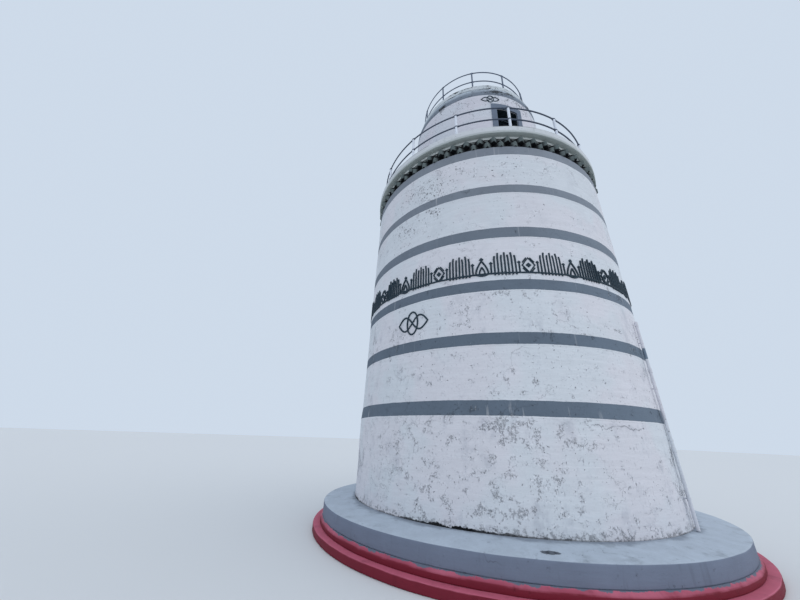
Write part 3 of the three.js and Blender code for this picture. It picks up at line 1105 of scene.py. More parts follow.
def moulding_finish(colours):
    """Rounded cornice of grey paint, darker below and lighter above as painted shade and painted light, with
    black runs, rot and bare chips.
    """
    f = Finish("painted moulding")
    cloud = f.noise(2.4, 5.0, 0.62)
    fine = f.noise(36.0, 3.0, 0.7)
    strokes = f.noise(2.2, 5.0, 0.7, stretch=(1, 1, 9))
    waist = DRUM_TOP + 0.38 * (CORNICE_TOP - DRUM_TOP)
    # Painted light and painted shade: the upper half of the rounded face lighter, the lower half darker.
    lit_upper_half = f.rise(f.height + (cloud - 0.5) * 0.10, waist - 0.09, waist + 0.10)
    paint = f.blend(lit_upper_half, colours.moulding[:], times(colours.moulding, (2.15, 2.10, 1.95)))
    f.colour = f.shade(0.74 + cloud * 0.26 + strokes * 0.20 + fine * 0.10, paint)
    runs = f.spots(0.54, 0.68, 5.0, 5.0, 0.7, stretch=(1, 1, 0.3), offset=(6, 0, 0))
    f.lay(runs * 0.50, times(colours.moulding, 0.35))
    top = f.rise(f.height, CORNICE_TOP - 0.17, CORNICE_TOP - 0.04)
    rot = f.rise(f.crown_lumps(0.11) + top * 0.03, *ROT_EDGE)
    f.lay(rot * 0.85, BLACK_MOULD_AND_SHADE)
    f.lay(f.spots(0.65, 0.69, 19.0, 5.0, 0.72, offset=(3, 0, 3)) * 0.6, times(colours.undercoat, 1.3))
    f.lay(f.fall(f.radius(), WELL_RADIUS - 0.05, WELL_RADIUS + 0.10), ROOM_PLASTER)
    f.relief = cloud * 0.3 + strokes * 0.4 + fine * 0.15 - rot * 0.5
    return f.surface(0.86, 0.010)


def ornament_finish(colours):
    """Dark paint on the raised ornament, paler on its upper faces and scuffed to the plaster in specks."""
    f = Finish("dark ornament paint")
    cloud = f.noise(6.0, 4.0, 0.6)
    fine = f.noise(60.0, 3.0, 0.7)
    f.colour = f.shade(0.6 + cloud * 0.6 + fine * 0.3, colours.ornament[:])
    f.lay(f.rise(f.up(), 0.35, 0.9) * 0.45, times(colours.band, (0.9, 1.0, 1.0)))
    f.lay(f.spots(0.69, 0.73, 30.0, 4.0, 0.7, offset=(0, 4, 0)) * 0.5, colours.undercoat[:])
    f.relief = cloud * 0.4 + fine * 0.4
    return f.surface(0.58 + fine * 0.25, 0.004)


def tube_finish(name, paint, rust):
    """Painted steel tube: brush marks, chalky patches and rust where the paint has blistered."""
    f = Finish(name)
    cloud = f.noise(7.0, 4.0, 0.62)
    fine = f.noise(75.0, 3.0, 0.7)
    f.colour = f.shade(0.78 + cloud * 0.32 + fine * 0.12, paint)
    blisters = f.noise(24.0, 5.0, 0.72, offset=(0, 0, 2))
    f.lay(f.rise(blisters, 0.60, 0.68) * rust, RUST)
    f.lay(f.rise(blisters, 0.70, 0.74) * rust, PITTED_RUST)
    f.relief = fine * 0.5 + f.rise(blisters, 0.58, 0.66)
    return f.surface(0.42 + cloud * 0.28, 0.0012)


# Operators


def settings(context):
    scene = context.scene
    return scene.minaret_stage, scene.minaret_colours, scene.minaret_sizes


class MINARET_OT_stage(Operator):
    """Sets up the camera, the pale floor and the soft light"""

    bl_idname = "minaret.stage"
    bl_label = "Stage"

    SENSOR = 36.0
    CLIP_END = 500.0
    FLOOR_SIZE = 240.0
    FLOOR_DROP = 0.002
    SOFT_ANGLE = math.radians(110.0)
    SUN_TILT = math.radians(38.0)
    SUN_TURN = math.radians(35.0)
    SUN_COLOUR = (1.0, 0.98, 0.95)

    def execute(self, context):
        stage = context.scene.minaret_stage
        self.camera(context.scene, stage)
        self.floor(context.scene, stage)
        self.light(context.scene, stage)
        context.scene.view_settings.view_transform = "Standard"
        return {"FINISHED"}

    def camera(self, scene, stage):
        data = bpy.data.cameras.new("camera")
        data.sensor_fit = "HORIZONTAL"
        data.sensor_width = self.SENSOR
        data.lens = stage.lens
        data.clip_end = self.CLIP_END
        camera = bpy.data.objects.new("camera", data)
        scene.collection.objects.link(camera)
        place_at = Vector(place(stage.camera_distance, stage.camera_azimuth, stage.camera_height))
        turn = (
            Matrix.Rotation(-stage.heading, 4, "Z")
            @ Matrix.Rotation(math.pi / 2 + stage.pitch, 4, "X")
            @ Matrix.Rotation(stage.roll, 4, "Z")
        )
        camera.matrix_world = Matrix.Translation(place_at) @ turn
        scene.camera = camera

    def floor(self, scene, stage):
        half = self.FLOOR_SIZE / 2
        corners = [(-half, -half, 0.0), (half, -half, 0.0), (half, half, 0.0), (-half, half, 0.0)]
        mesh = bpy.data.meshes.new("floor")
        mesh.from_pydata(corners, [], [(0, 1, 2, 3)])
        floor = bpy.data.objects.new("floor", mesh)
        floor.location.z = GROUND - self.FLOOR_DROP
        scene.collection.objects.link(floor)
        finish = Finish("pale floor")
        finish.colour = (*stage.floor, 1.0)
        mesh.materials.append(finish.surface(0.9))

    def light(self, scene, stage):
        world = bpy.data.worlds.new("pale sky")
        world.use_nodes = True
        background = world.node_tree.nodes["Background"]
        background.inputs["Color"].default_value = (*stage.sky, 1.0)
        background.inputs["Strength"].default_value = stage.sky_strength
        scene.world = world
        sun = bpy.data.lights.new("softbox", "SUN")
        sun.energy = stage.sun_strength
        sun.angle = self.SOFT_ANGLE
        sun.color = self.SUN_COLOUR
        lamp = bpy.data.objects.new("softbox", sun)
        lamp.rotation_euler = Euler((self.SUN_TILT, 0.0, self.SUN_TURN))
        scene.collection.objects.link(lamp)


class MINARET_OT_base(Operator):
    """Makes the two red steps and the grey plinth, with worn rounded edges"""

    bl_idname = "minaret.base"
    bl_label = "Steps and plinth"

    SEGMENTS = 320
    STEP = 0.06
    EDGE = 0.014
    STEADY = 2.9
    EASE = 0.4
    FOOT = 0.001
    STRAY = ((0.004, 1.3), (0.0015, 6.0))
    SUNK = 0.002
    SWELL = (0.003, 1.1)
    SWELL_SEED = 20

    def execute(self, context):
        _, colours, _ = settings(context)
        red, grey = step_finish(colours), plinth_finish(colours)
        lower = [(STEP_RADIUS, GROUND), (STEP_RADIUS, STEP_TOP)]
        upper = [(UPPER_STEP_RADIUS, STEP_TOP), (UPPER_STEP_RADIUS, UPPER_STEP_EDGE)]
        plinth = [(PLINTH_RADIUS, PLINTH_FOOT), (PLINTH_RADIUS, PLINTH_EDGE)]
        self.course("lower_step", lower, red, "red_paint", 1)
        self.course("upper_step", [*upper, (PLINTH_RADIUS, PLINTH_FOOT)], red, "red_paint", 2)
        self.course("plinth", [*plinth, (SHAFT_FACE[0][0], PLINTH_TOP)], grey, "plinth_render", 3)
        return {"FINISHED"}

    def course(self, node, face, finish, slot, seed):
        """A round solid course with the given outer face."""
        foot, top = foot_of(node), top_of(node)
        outline = resampled(rounded([(0.0, foot), *face, (0.0, top)], self.EDGE), self.STEP)
        layers = [(amount, scale, seed) for amount, scale in self.STRAY]
        swell = [(*self.SWELL, seed + self.SWELL_SEED)]

        def shape(radius, azimuth, height):
            if radius < self.STEADY or height <= foot + self.FOOT:
                return radius, height
            here = place(radius, azimuth, height)
            ease = min(1.0, (radius - self.STEADY) / self.EASE)
            return radius + ease * (drift(here, layers) - self.SUNK), height + ease * drift(here, swell)

        solid = Solid()
        solid.lathe(outline, self.SEGMENTS, shape)
        solid.piece(f"{node}_course", finish, slot, [node])


class MINARET_OT_shaft(Operator):
    """Makes the tapering plastered shaft with its painted bands"""

    bl_idname = "minaret.shaft"
    bl_label = "Shaft"

    SEGMENTS = 448
    ROW = 0.046
    SKIN = 0.05
    STEADY_EDGE = 0.15
    STRAY = ((1.0, 0.55, 3.0), (0.45, 2.4, 8.0))

    def execute(self, context):
        _, colours, sizes = settings(context)
        neck = [(NECK_RADIUS, LEDGE), (NECK_RADIUS, TEETH_TOP)]
        well = [(WELL_RADIUS, TEETH_TOP), (WELL_RADIUS, PLINTH_TOP)]
        outline = [*resampled(SHAFT_FACE, self.ROW), *neck, *well]

        def shape(radius, azimuth, height):
            if radius < SHAFT_FACE[-1][0] - self.SKIN:
                return radius, height
            here = place(radius, azimuth, height)
            ease = min(1.0, (height - PLINTH_TOP) / self.STEADY_EDGE, (LEDGE - height) / self.STEADY_EDGE)
            return radius + sizes.unevenness * ease * drift(here, self.STRAY), height

        solid = Solid()
        solid.lathe(outline, self.SEGMENTS, shape)
        finish = shaft_finish(colours)
        solid.piece("shaft_plaster", finish, "plaster", SHAFT_NODES, wear=worn_shaft, damp=damp_foot)
        return {"FINISHED"}


class Ribbon:
    """Raised bars drawn on the unrolled wall, in metres, and wrapped round it."""

    EMBED = 0.012
    SHOULDER = 0.6
    FLAT = 0.30
    LOZENGE_FLAT = 0.7

    def __init__(self, centre, base_height, radius_at, relief):
        self.solid = Solid()
        self.centre = centre
        self.base = base_height
        self.radius_at = radius_at
        self.relief = relief

    def point(self, u, v, depth):
        height = self.base + v
        radius = self.radius_at(height)
        return place(radius + depth, self.centre + u / radius, height)

    def bar(self, path, width, lift=0.0, closed=False):
        """A bar with a rounded section along a path of (u, v) points."""
        relief = self.relief + lift
        half = [(0.5, -self.EMBED), (0.5, relief * self.SHOULDER), (self.FLAT, relief)]
        section = [(-side, depth) for side, depth in half] + half[::-1]
        rows = []
        for i, here in enumerate(path):
            along = direction(path, i, closed)
            across = Vector((-along.y, along.x))
            points = [Vector(here) + across * (side * width) for side, _ in section]
            rows.append([self.point(*at, depth) for at, (_, depth) in zip(points, section)])
        self.solid.loft(rows, closed)

    def lozenge(self, u, v, size, lift):
        """A square set on its corner."""
        relief = self.relief + lift
        rows = []
        for scale, depth in ((1.0, -self.EMBED), (1.0, relief * self.SHOULDER), (self.LOZENGE_FLAT, relief)):
            reach = size * scale / 2
            corners = ((u, v - reach), (u - reach, v), (u, v + reach), (u + reach, v))
            rows.append([self.point(a, b, depth) for a, b in corners])
        self.solid.loft(rows)


def oval(radius_u, radius_v, steps):
    """Points round an ellipse about the middle."""
    return [(radius_u * math.cos(turn), radius_v * math.sin(turn)) for turn in around(steps)]


def pointed_arch(reach, foot, apex, steps):
    """An arch that springs upright from both feet and meets in a point above the middle."""
    left = [
        (-reach + reach * (1 - math.cos(share * math.pi / 2)), foot + (apex - foot) * share)
        for share in spread(0.0, 1.0, steps)
    ]
    return left + [(-u, v) for u, v in reversed(left[:-1])]


class MINARET_OT_frieze(Operator):
    """Makes the raised frieze: a cresting of tall bars between pointed arches and standing lozenges"""

    bl_idname = "minaret.frieze"
    bl_label = "Frieze"

    # Shares of the frieze's height, of a stroke or of a motif's reach; the lift and the gap are in metres

    STEPS = 8
    LIFT = 0.001
    RAIL = 0.105
    BAR_GAP = 0.058
    COMB = 4
    BAR_TOPS = (0.86, 0.89, 0.99)
    BAR_FOOT = 0.4
    BAR_BEND = 0.85
    BAR_HOOK = 0.25
    SPEAR = 0.50
    SPEAR_NECK = 0.8
    SPEAR_HEAD = 2.2
    MARGIN = 0.85
    ARCH = 0.70
    INNER_REACH = 0.45
    INNER_ARCH = 0.42
    INNER_STROKE = 0.9
    SCALLOP = 1.1
    FINIAL_NECK = 0.9
    FINIAL = 2.6
    STANDING = 0.74
    HEART = 0.95
    CHEVRON_NEAR = 0.30
    CHEVRON_FAR = 0.95
    CHEVRON_RISE = 0.62
    CHEVRON_STROKE = 0.8

    def execute(self, context):
        _, colours, sizes = settings(context)
        band = Ribbon(0.0, sizes.frieze_foot, shaft_radius, sizes.frieze_relief)
        for i, turn in enumerate(around(sizes.frieze_units)):
            band.centre = turn
            self.comb(band, sizes)
            motif = self.lozenges if i % 2 else self.arches
            motif(band, sizes)
        band.solid.piece("ornament_frieze", ornament_finish(colours), "grey_paint")
        return {"FINISHED"}

    def half(self, sizes):
        """Half the width of one repeat."""
        return math.pi * shaft_radius(sizes.frieze_foot) / sizes.frieze_units

    def reach(self, sizes):
        """How far a motif reaches to each side, short of the comb."""
        return self.half(sizes) - (self.COMB + self.MARGIN) * self.BAR_GAP

    def comb(self, band, sizes):
        """The rail, and on each side half a comb of tall bars that ends in a spear."""
        tall, wide, half = sizes.frieze_height, sizes.stroke, self.half(sizes)
        rail, foot, spear = tall * self.RAIL, wide * self.BAR_FOOT, tall * self.SPEAR
        band.bar([(u, rail) for u in spread(-half, half, self.STEPS)], wide)
        band.bar([(half, foot), (half, tall)], wide, self.LIFT)
        for side in (-1, 1):
            for k in range(1, self.COMB):
                u = side * (half - k * self.BAR_GAP)
                top = tall * self.BAR_TOPS[k % len(self.BAR_TOPS)]
                bend = (u, top * self.BAR_BEND)
                band.bar([(u, foot), bend, (u + side * wide * self.BAR_HOOK, top)], wide, self.LIFT)
            u = side * (half - self.COMB * self.BAR_GAP)
            band.bar([(u, rail), (u, spear)], wide, self.LIFT)
            band.lozenge(u, spear + wide * self.SPEAR_NECK, wide * self.SPEAR_HEAD, 2 * self.LIFT)

    def arches(self, band, sizes):
        """Two nested pointed arches over a scallop, with a finial on the outer one."""
        tall, wide, reach = sizes.frieze_height, sizes.stroke, self.reach(sizes)
        rail, apex, sag = tall * self.RAIL, tall * self.ARCH, wide * self.SCALLOP
        inner = pointed_arch(reach * self.INNER_REACH, rail, tall * self.INNER_ARCH, self.STEPS)
        band.bar(pointed_arch(reach, rail, apex, self.STEPS), wide, 2 * self.LIFT)
        band.bar(inner, wide * self.INNER_STROKE, 2 * self.LIFT)
        across = spread(-reach, reach, self.STEPS)
        scallop = [(u, rail - sag * math.cos(u / reach * math.pi / 2)) for u in across]
        band.bar(scallop, wide, -self.LIFT)
        band.lozenge(0.0, apex + wide * self.FINIAL_NECK, wide * self.FINIAL, 3 * self.LIFT)

    def lozenges(self, band, sizes):
        """A lozenge standing on the rail round a solid one, between two chevrons."""
        tall, wide, reach = sizes.frieze_height, sizes.stroke, self.reach(sizes)
        rail, top = tall * self.RAIL, tall * self.STANDING
        middle = (rail + top) / 2
        outline = [(0.0, rail), (reach, middle), (0.0, top), (-reach, middle)]
        band.bar(outline, wide, 2 * self.LIFT, closed=True)
        band.lozenge(0.0, middle, reach * self.HEART, 2 * self.LIFT)
        for side in (-1, 1):
            near, far = side * reach * self.CHEVRON_NEAR, side * reach * self.CHEVRON_FAR
            low = [(near, rail), (far, rail + (middle - rail) * self.CHEVRON_RISE)]
            high = [(far, top - (top - middle) * self.CHEVRON_RISE), (near, top)]
            for stroke in (low, high):
                band.bar(stroke, wide * self.CHEVRON_STROKE, self.LIFT)


class MINARET_OT_knots(Operator):
    """Makes the two raised knots: a pointed figure of eight laid on its side through an upright ring"""

    bl_idname = "minaret.knots"
    bl_label = "Knots"

    SHAFT_PLACE = (-55.8, 3.461)
    DRUM_PLACE = (-13.5, 9.982)
    DRUM_SIZE = (0.50, 0.26)
    RELIEF = 0.014
    LINE = 0.030
    DRUM_LINE = 0.7
    LEAF_SHARE = 0.62
    RING_SHARE = 0.36
    RING_LIFT = 0.003
    STEPS = 40

    def execute(self, context):
        _, colours, sizes = settings(context)
        finish = ornament_finish(colours)
        size = (sizes.knot_width, sizes.knot_height)
        thin = self.LINE * self.DRUM_LINE
        self.knot("shaft_knot", self.SHAFT_PLACE, size, self.LINE, shaft_radius, finish)
        self.knot("drum_knot", self.DRUM_PLACE, self.DRUM_SIZE, thin, lambda _: DRUM_RADIUS, finish)
        return {"FINISHED"}

    def knot(self, name, at, size, line, radius_at, finish):
        ribbon = Ribbon(math.radians(at[0]), at[1], radius_at, self.RELIEF)
        wide, tall = size[0] / 2 - line / 2, size[1] / 2 - line / 2
        ribbon.bar(self.eight(wide, tall * self.LEAF_SHARE), line, closed=True)
        ribbon.bar(oval(wide * self.RING_SHARE, tall, self.STEPS), line, self.RING_LIFT, closed=True)
        ribbon.solid.piece(name, finish, "grey_paint")

    def eight(self, wide, tall):
        """Two leaves that cross in the middle and come to points at their outer ends."""
        shares = spread(0.0, 1.0, self.STEPS // 2)
        edge = [(wide * share, tall * math.sin(math.pi * share)) for share in shares]
        right = edge + [(u, -v) for u, v in edge[-2:0:-1]]
        return right + [(-u, v) for u, v in right]


class MINARET_OT_dogtooth(Operator):
    """Makes the two staggered rows of blocks laid corner outwards"""

    bl_idname = "minaret.dogtooth"
    bl_label = "Dogtooth cornice"

    TEETH = 64
    TIP = 2.912
    ROOT = 2.778
    PHASE = 1.1
    BACK = 2.650
    CORE = 0.004
    LET_IN = 0.01
    ROUND = 0.010
    NOSE = 0.012
    JOINT = 0.001
    FILLED = 0.97
    SHOULDER = 0.45
    FLANK = (1.0, 0.56, 0.10)
    ARRIS = ((0.0, 1.0), (0.4, 0.3), (1.0, 0.0))
    TURNED = 0.002
    LEANING = 0.03
    SETTLED = 0.004
    WORN = (9.0, 1.0)

    def execute(self, context):
        _, colours, sizes = settings(context)
        finish = stone_finish(colours)
        self.row("dogtooth_lower_blocks", LEDGE, TEETH_MIDDLE, self.PHASE, sizes.chip, finish, LOWER_TEETH)
        upper = self.PHASE + 360.0 / self.TEETH / 2
        self.row("dogtooth_upper_blocks", TEETH_MIDDLE, TEETH_TOP, upper, sizes.chip, finish, UPPER_TEETH)
        return {"FINISHED"}

    def row(self, name, foot, top, phase, chip, finish, nodes):
        dice = random.Random(name)
        solid = Solid()
        front = self.ROOT + self.CORE
        solid.lathe([(self.BACK, foot), (front, foot), (front, top), (self.BACK, top)], self.TEETH * 3)
        for i in range(self.TEETH):
            azimuth = math.radians(phase + (i + 0.5) * 360.0 / self.TEETH)
            self.block(solid, azimuth, foot, top, dice, chip)
        solid.piece(name, finish, "dogtooth_stone", nodes)

    def block(self, solid, azimuth, foot, top, dice, chip):
        """One block: its corner outwards, a little turned and sunk, with worn edges."""
        half = math.pi / self.TEETH * self.FILLED
        tip = self.TIP - dice.uniform(0.0, chip)
        centre = azimuth + dice.uniform(-self.TURNED, self.TURNED)
        lean = dice.uniform(-self.LEANING, self.LEANING)
        radii = (self.ROOT - self.LET_IN, self.ROOT + self.SHOULDER * (tip - self.ROOT), tip - self.NOSE)
        flank = list(zip(radii, self.FLANK))
        outline = [(r, centre - half * s) for r, s in flank] + [(tip, centre)]
        outline += [(r, centre + half * s) for r, s in reversed(flank)]
        low = foot + self.JOINT + dice.uniform(0, self.SETTLED)
        high = top - self.JOINT - dice.uniform(0, self.SETTLED)
        levels = [(low + self.ROUND * up, self.ROUND * back) for up, back in self.ARRIS]
        levels += [((low + high) / 2, 0.0)]
        levels += [(high - self.ROUND * up, self.ROUND * back) for up, back in reversed(self.ARRIS)]
        rows = []
        for level, inset in levels:
            row = []
            for radius, turn in outline:
                worn = chip / 2 * wander(place(radius, turn, level), *self.WORN)
                row.append(place(radius - inset + worn + lean * (level - foot), turn, level))
            rows.append(row)
        solid.loft(rows)


class MINARET_OT_gallery_floor(Operator):
    """Makes the gallery slab with its fillet course and softened edges"""

    bl_idname = "minaret.gallery_floor"
    bl_label = "Gallery floor"

    SEGMENTS = 288
    ROW = 0.07
    EDGE = 0.012
    RIM = 0.1
    STRAY = ((0.005, 1.6, 4.0),)
    SUNK = 0.002
    SWELL = ((0.003, 1.2, 6.0),)

    def execute(self, context):
        _, colours, _ = settings(context)
        outline = [
            (0.0, TEETH_TOP),
            (FILLET_RADIUS, TEETH_TOP),
            (FILLET_RADIUS, SOFFIT),
            (FLOOR_RADIUS, SOFFIT),
            (FLOOR_RADIUS, FLOOR_TOP),
            (0.0, FLOOR_TOP),
        ]

        def shape(radius, azimuth, height):
            if radius < FILLET_RADIUS - self.RIM:
                return radius, height
            here = place(radius, azimuth, height)
            return radius + drift(here, self.STRAY) - self.SUNK, height + drift(here, self.SWELL)

        solid = Solid()
        solid.lathe(resampled(rounded(outline, self.EDGE), self.ROW), self.SEGMENTS, shape)
        solid.piece("gallery_slab", slab_finish(colours), "slab_render", ["gallery_floor"])
        return {"FINISHED"}


class MINARET_OT_drum(Operator):
    """Makes the drum wall with its doorway and the grey surround"""

    bl_idname = "minaret.drum"
    bl_label = "Drum and doorway"

    SEGMENTS = 220
    DOOR_SEGMENTS = 12
    ROW = 0.07
    JAMB_COLUMNS = 6
    HEAD_COLUMNS = 24
    LET_IN = 0.010
    CALM = 0.4
    FLATTER = 0.7
    STRAY = (0.8, 11.0)

    def execute(self, context):
        _, colours, sizes = settings(context)
        self.unevenness = sizes.unevenness * self.FLATTER
        self.wall(colours)
        self.surround(colours)
        return {"FINISHED"}

    def wall(self, colours):
        """A ring with the doorway left out of its lower courses."""
        outer_jamb, inner_jamb = (math.asin(DOOR_WIDTH / 2 / r) for r in (DRUM_RADIUS, WELL_RADIUS))
        outer = spread(outer_jamb, FULL_TURN - outer_jamb, self.SEGMENTS)
        inner = spread(inner_jamb, FULL_TURN - inner_jamb, self.SEGMENTS)
        over_door = spread(FULL_TURN - outer_jamb, FULL_TURN + outer_jamb, self.DOOR_SEGMENTS)[1:-1]
        behind_door = spread(FULL_TURN - inner_jamb, FULL_TURN + inner_jamb, self.DOOR_SEGMENTS)[1:-1]
        lower = spread(FLOOR_TOP, DOOR_HEAD, math.ceil((DOOR_HEAD - FLOOR_TOP) / self.ROW))
        upper = spread(DOOR_HEAD, DRUM_TOP, math.ceil((DRUM_TOP - DOOR_HEAD) / self.ROW))
        face, back = [*outer, *over_door], [*inner, *behind_door]
        wall = Solid()
        wall.grid([self.course(outer, z) + self.lining(inner, z)[::-1] for z in lower], closed_columns=True)
        wall.grid([self.course(face, z) for z in upper], closed_columns=True)
        wall.grid([self.lining(back, z) for z in upper], closed_columns=True)
        wall.grid([self.course(outer, FLOOR_TOP), self.lining(inner, FLOOR_TOP)])
        wall.grid([self.course(face, DRUM_TOP), self.lining(back, DRUM_TOP)], closed_columns=True)
        head = self.course([outer[-1], *over_door, outer[0]], DOOR_HEAD)
        wall.grid([head, self.lining([inner[-1], *behind_door, inner[0]], DOOR_HEAD)])
        wall.piece("drum_plaster", drum_finish(colours), "plaster", DRUM_NODES, wear=worn_drum)

    def course(self, azimuths, height):
        """Points of the outer face, calm near the doorway so that the surround lies flat on it."""
        points = []
        for azimuth in azimuths:
            calm = min(1.0, abs(math.remainder(azimuth, FULL_TURN)) / self.CALM)
            stray = self.unevenness * calm * wander(place(DRUM_RADIUS, azimuth, height), *self.STRAY)
            points.append(place(DRUM_RADIUS + stray, azimuth, height))
        return points

    def lining(self, azimuths, height):
        return [place(WELL_RADIUS, azimuth, height) for azimuth in azimuths]

    def surround(self, colours):
        """The flat painted band round the doorway, proud of the wall."""
        finish = surround_finish(colours)
        jamb = math.asin(DOOR_WIDTH / 2 / DRUM_RADIUS)
        edge = jamb + SURROUND_WIDTH / DRUM_RADIUS
        right, left = spread(jamb, edge, self.JAMB_COLUMNS), spread(-edge, -jamb, self.JAMB_COLUMNS)
        self.strip("door_surround_right", right, FLOOR_TOP, DOOR_HEAD, finish)
        self.strip("door_surround_left", left, FLOOR_TOP, DOOR_HEAD, finish)
        head = spread(-edge, edge, self.HEAD_COLUMNS)
        self.strip("door_surround_head", head, DOOR_HEAD, SURROUND_TOP, finish)

    def strip(self, node, columns, low, high, finish):
        rows = []
        for height in spread(low, high, max(2, round((high - low) / self.ROW))):
            front = [place(DRUM_RADIUS + SURROUND_PROUD, a, height) for a in columns]
            rows.append(front + [place(DRUM_RADIUS - self.LET_IN, a, height) for a in reversed(columns)])
        solid = Solid()
        solid.loft(rows)
        solid.piece(f"{node}_band", finish, "grey_paint", [node])


class MINARET_OT_roof(Operator):
    """Makes the rounded cornice of the drum and the flat roof above it"""

    bl_idname = "minaret.roof"
    bl_label = "Cornice and roof"

    SEGMENTS = 256
    BULGE = 0.040
    TOP_RADIUS = 1.730
    INNER = 1.350
    FACE_ROWS = 18
    SKIN = 0.02
    CORNICE_STRAY = ((0.005, 1.8, 2.0), (0.002, 9.0, 2.0))
    EDGE = 0.010
    ROW = 0.035
    SLAB_STRAY = ((0.005, 2.0, 5.0), (0.003, 11.0, 5.0))
    SUNK = 0.003
    SWELL = ((0.002, 1.4, 9.0),)

    def execute(self, context):
        _, colours, _ = settings(context)
        self.cornice(colours)
        self.slab(colours)
        return {"FINISHED"}

    def cornice(self, colours):
        face = []
        for share in spread(0.0, 1.0, self.FACE_ROWS):
            straight = DRUM_RADIUS + (self.TOP_RADIUS - DRUM_RADIUS) * share
            radius = straight + self.BULGE * math.sin(math.pi * share)
            face.append((radius, DRUM_TOP + (CORNICE_TOP - DRUM_TOP) * share))

        def shape(radius, azimuth, height):
            if radius < self.TOP_RADIUS - self.SKIN or height <= DRUM_TOP:
                return radius, height
            return radius + drift(place(radius, azimuth, height), self.CORNICE_STRAY), height

        solid = Solid()
        solid.lathe([(self.INNER, DRUM_TOP), *face, (self.INNER, CORNICE_TOP)], self.SEGMENTS, shape)
        finish = moulding_finish(colours)
        solid.piece("cornice_moulding", finish, "grey_paint", ["drum_cornice"], wear=worn_crown)

    def slab(self, colours):
        outline = [(0.0, CORNICE_TOP), (ROOF_RADIUS, CORNICE_TOP), (ROOF_RADIUS, ROOF_TOP), (0.0, ROOF_TOP)]

        def shape(radius, azimuth, height):
            if radius < self.INNER:
                return radius, height
            here = place(radius, azimuth, height)
            return radius + (drift(here, self.SLAB_STRAY) - self.SUNK), height + drift(here, self.SWELL)

        solid = Solid()
        solid.lathe(resampled(rounded(outline, self.EDGE), self.ROW), self.SEGMENTS, shape)
        solid.piece("roof_edge", roof_edge_finish(colours), "plaster", ["roof_slab"], wear=worn_crown)


class Railing(NamedTuple):
    """A ring of posts and rails."""

    name: str
    radius: float
    base: float
    top: float
    posts: int
    first: float
    post_radius: float
    rail_radius: float
    knuckle: float
    nodes: list


class MINARET_OT_railings(Operator):
    """Makes both railings, with knuckle fittings where rails and posts meet"""

    bl_idname = "minaret.railings"
    bl_label = "Railings"

    MIDDLE = 0.390
    RAIL_STEPS = 180
    RAIL_SIDES = 10
    POST_SIDES = 14
    FLANGE = 0.012
    FLANGE_SHARE = 2.1
    FLANGE_SIDES = 18
    SLEEVE = 0.020
    ROOF_KNUCKLE = 0.7
    ROOF_PAINT = 1.35
    RAIL_RUST = 0.35
    POST_RUST = 0.22

    def execute(self, context):
        _, colours, sizes = settings(context)
        rail = tube_finish("grey rail tube", colours.rail[:], self.RAIL_RUST)
        post = tube_finish("white post tube", colours.post[:], self.POST_RUST)
        roof = tube_finish("grey roof tube", times(colours.rail, self.ROOF_PAINT), self.RAIL_RUST)
        gallery = Railing(
            name="gallery",
            radius=2.770,
            base=FLOOR_TOP,
            top=top_of(GALLERY_RAILS[0]),
            posts=15,
            first=-12.8,
            post_radius=0.029,
            rail_radius=0.016,
            knuckle=sizes.knuckle,
            nodes=GALLERY_RAILS,
        )
        crown = Railing(
            name="roof",
            radius=1.602,
            base=ROOF_TOP,
            top=top_of(ROOF_RAILS[0]),
            posts=11,
            first=-26.4,
            post_radius=0.021,
            rail_radius=0.014,
            knuckle=sizes.knuckle * self.ROOF_KNUCKLE,
            nodes=ROOF_RAILS,
        )
        self.railing(gallery, rail, post)
        self.railing(crown, roof, roof)
        return {"FINISHED"}

    def railing(self, fence, rail_finish, post_finish):
        levels = (fence.top - fence.rail_radius, fence.base + self.MIDDLE)
        rails, posts, fittings = Solid(), Solid(), Solid()
        for level in levels:
            path = [place(fence.radius, turn, level) for turn in around(self.RAIL_STEPS)]
            rails.tube(path, fence.rail_radius, self.RAIL_SIDES, closed=True)
        for i in range(fence.posts):
            azimuth = math.radians(fence.first + i * 360.0 / fence.posts)
            x, y, _ = place(fence.radius, azimuth, 0.0)
            foot = (x, y, fence.base)
            posts.tube([foot, (x, y, levels[0])], fence.post_radius, self.POST_SIDES)
            flange = [foot, (x, y, fence.base + self.FLANGE)]
            posts.tube(flange, fence.post_radius * self.FLANGE_SHARE, self.FLANGE_SIDES)
            for level in levels:
                self.knuckle(fittings, fence, azimuth, level)
        rails.piece(f"{fence.name}_rails", rail_finish, "painted_tube", fence.nodes)
        posts.piece(f"{fence.name}_posts", post_finish, "painted_tube")
        fittings.piece(f"{fence.name}_knuckles", rail_finish, "painted_tube")

    def knuckle(self, fittings, fence, azimuth, level):
        """A ball where a rail passes a post, with a short sleeve on the rail at each side."""
        centre = place(fence.radius, azimuth, level)
        fittings.ball(centre, fence.post_radius + fence.knuckle / 2)
        for side in (-1, 1):
            reach = side * (fence.post_radius + self.SLEEVE) / fence.radius
            end = place(fence.radius, azimuth + reach, level)
            fittings.tube([centre, end], fence.rail_radius + fence.knuckle / 2, self.RAIL_SIDES)


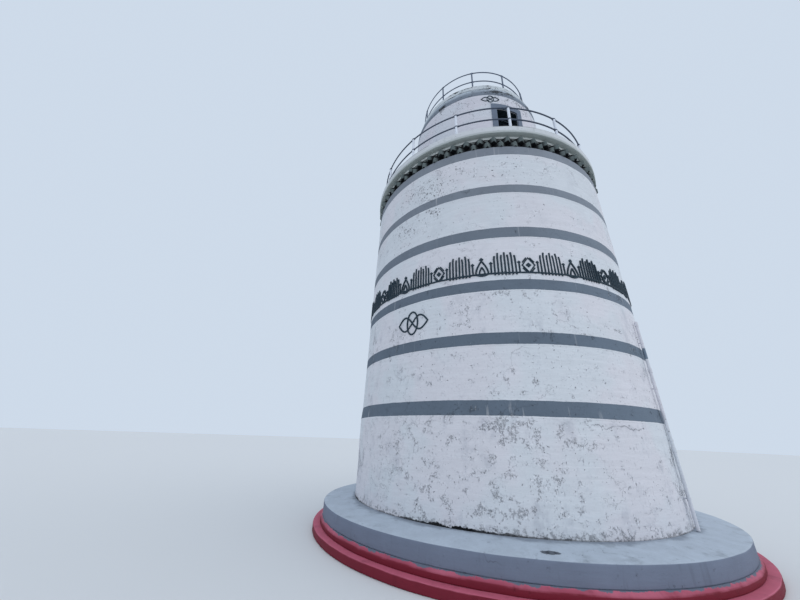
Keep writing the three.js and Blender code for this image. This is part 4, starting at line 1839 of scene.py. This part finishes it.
class MINARET_OT_pipe(Operator):
    """Makes the painted pipe on the flank, with its sockets and clips"""

    bl_idname = "minaret.pipe"
    bl_label = "Wall pipe"

    AZIMUTH = math.radians(28.125)
    RADIUS = 0.024
    STEPS = 40
    SIDES = 16
    FOOT_GAP = 0.040
    TOP_GAP = 0.028
    SOCKETS = (0.33, 0.72, 0.985)
    SOCKET_SIZE = (0.035, 0.005)
    CLIPS = 4
    CLIP_SIZE = (0.014, 0.004)
    PEG_RADIUS = 0.011
    PEG_SIDES = 8
    PEG_LET_IN = 0.01

    def execute(self, context):
        _, colours, _ = settings(context)
        self.foot, self.top = foot_of("wall_pipe"), top_of("wall_pipe")
        pipe = Solid()
        pipe.tube([self.axis(z) for z in spread(self.foot, self.top, self.STEPS)], self.RADIUS, self.SIDES)
        for share in self.SOCKETS:
            self.collar(pipe, self.foot + share * (self.top - self.foot), *self.SOCKET_SIZE)
        for i in range(self.CLIPS):
            height = self.foot + (i + 0.5) / self.CLIPS * (self.top - self.foot)
            self.collar(pipe, height, *self.CLIP_SIZE)
            wall = place(shaft_radius(height) - self.PEG_LET_IN, self.AZIMUTH, height)
            pipe.tube([wall, self.axis(height)], self.PEG_RADIUS, self.PEG_SIDES)
        pipe.piece("flank_pipe", pipe_finish(colours), "pipe_paint", ["wall_pipe"])
        return {"FINISHED"}

    def axis(self, height):
        """The pipe's middle, which leans with the wall."""
        low = SHAFT_FACE[0][0] + self.FOOT_GAP + self.RADIUS
        high = shaft_radius(self.top) + self.TOP_GAP + self.RADIUS
        share = (height - self.foot) / (self.top - self.foot)
        return place(low + (high - low) * share, self.AZIMUTH, height)

    def collar(self, pipe, height, half, proud):
        """A ring round the pipe, that much to each side of its height and that much thicker."""
        pipe.tube([self.axis(height - half), self.axis(height + half)], self.RADIUS + proud, self.SIDES)


class MINARET_PT_panel(Panel):
    """Lists the minaret's pieces and settings"""

    bl_idname = "MINARET_PT_panel"
    bl_label = "Minaret"
    bl_space_type = "VIEW_3D"
    bl_region_type = "UI"
    bl_category = "Minaret"

    def draw(self, context):
        for operator in OPERATORS:
            self.layout.operator(operator.bl_idname)
        for group in settings(context):
            box = self.layout.box()
            for name in group.bl_rna.properties.keys():
                if name not in {"rna_type", "name"}:
                    box.prop(group, name)


GROUPS = (MinaretStage, MinaretColours, MinaretSizes)
OPERATORS = (
    MINARET_OT_stage,
    MINARET_OT_base,
    MINARET_OT_shaft,
    MINARET_OT_frieze,
    MINARET_OT_knots,
    MINARET_OT_dogtooth,
    MINARET_OT_gallery_floor,
    MINARET_OT_drum,
    MINARET_OT_roof,
    MINARET_OT_railings,
    MINARET_OT_pipe,
)


def register():
    for item in (*GROUPS, *OPERATORS, MINARET_PT_panel):
        bpy.utils.register_class(item)
    bpy.types.Scene.minaret_stage = PointerProperty(type=MinaretStage)
    bpy.types.Scene.minaret_colours = PointerProperty(type=MinaretColours)
    bpy.types.Scene.minaret_sizes = PointerProperty(type=MinaretSizes)


def unregister():
    del bpy.types.Scene.minaret_sizes
    del bpy.types.Scene.minaret_colours
    del bpy.types.Scene.minaret_stage
    for item in reversed((*GROUPS, *OPERATORS, MINARET_PT_panel)):
        bpy.utils.unregister_class(item)


def main():
    register()
    for operator in OPERATORS:
        group, name = operator.bl_idname.split(".")
        getattr(getattr(bpy.ops, group), name)()


if __name__ == "__main__":
    main()
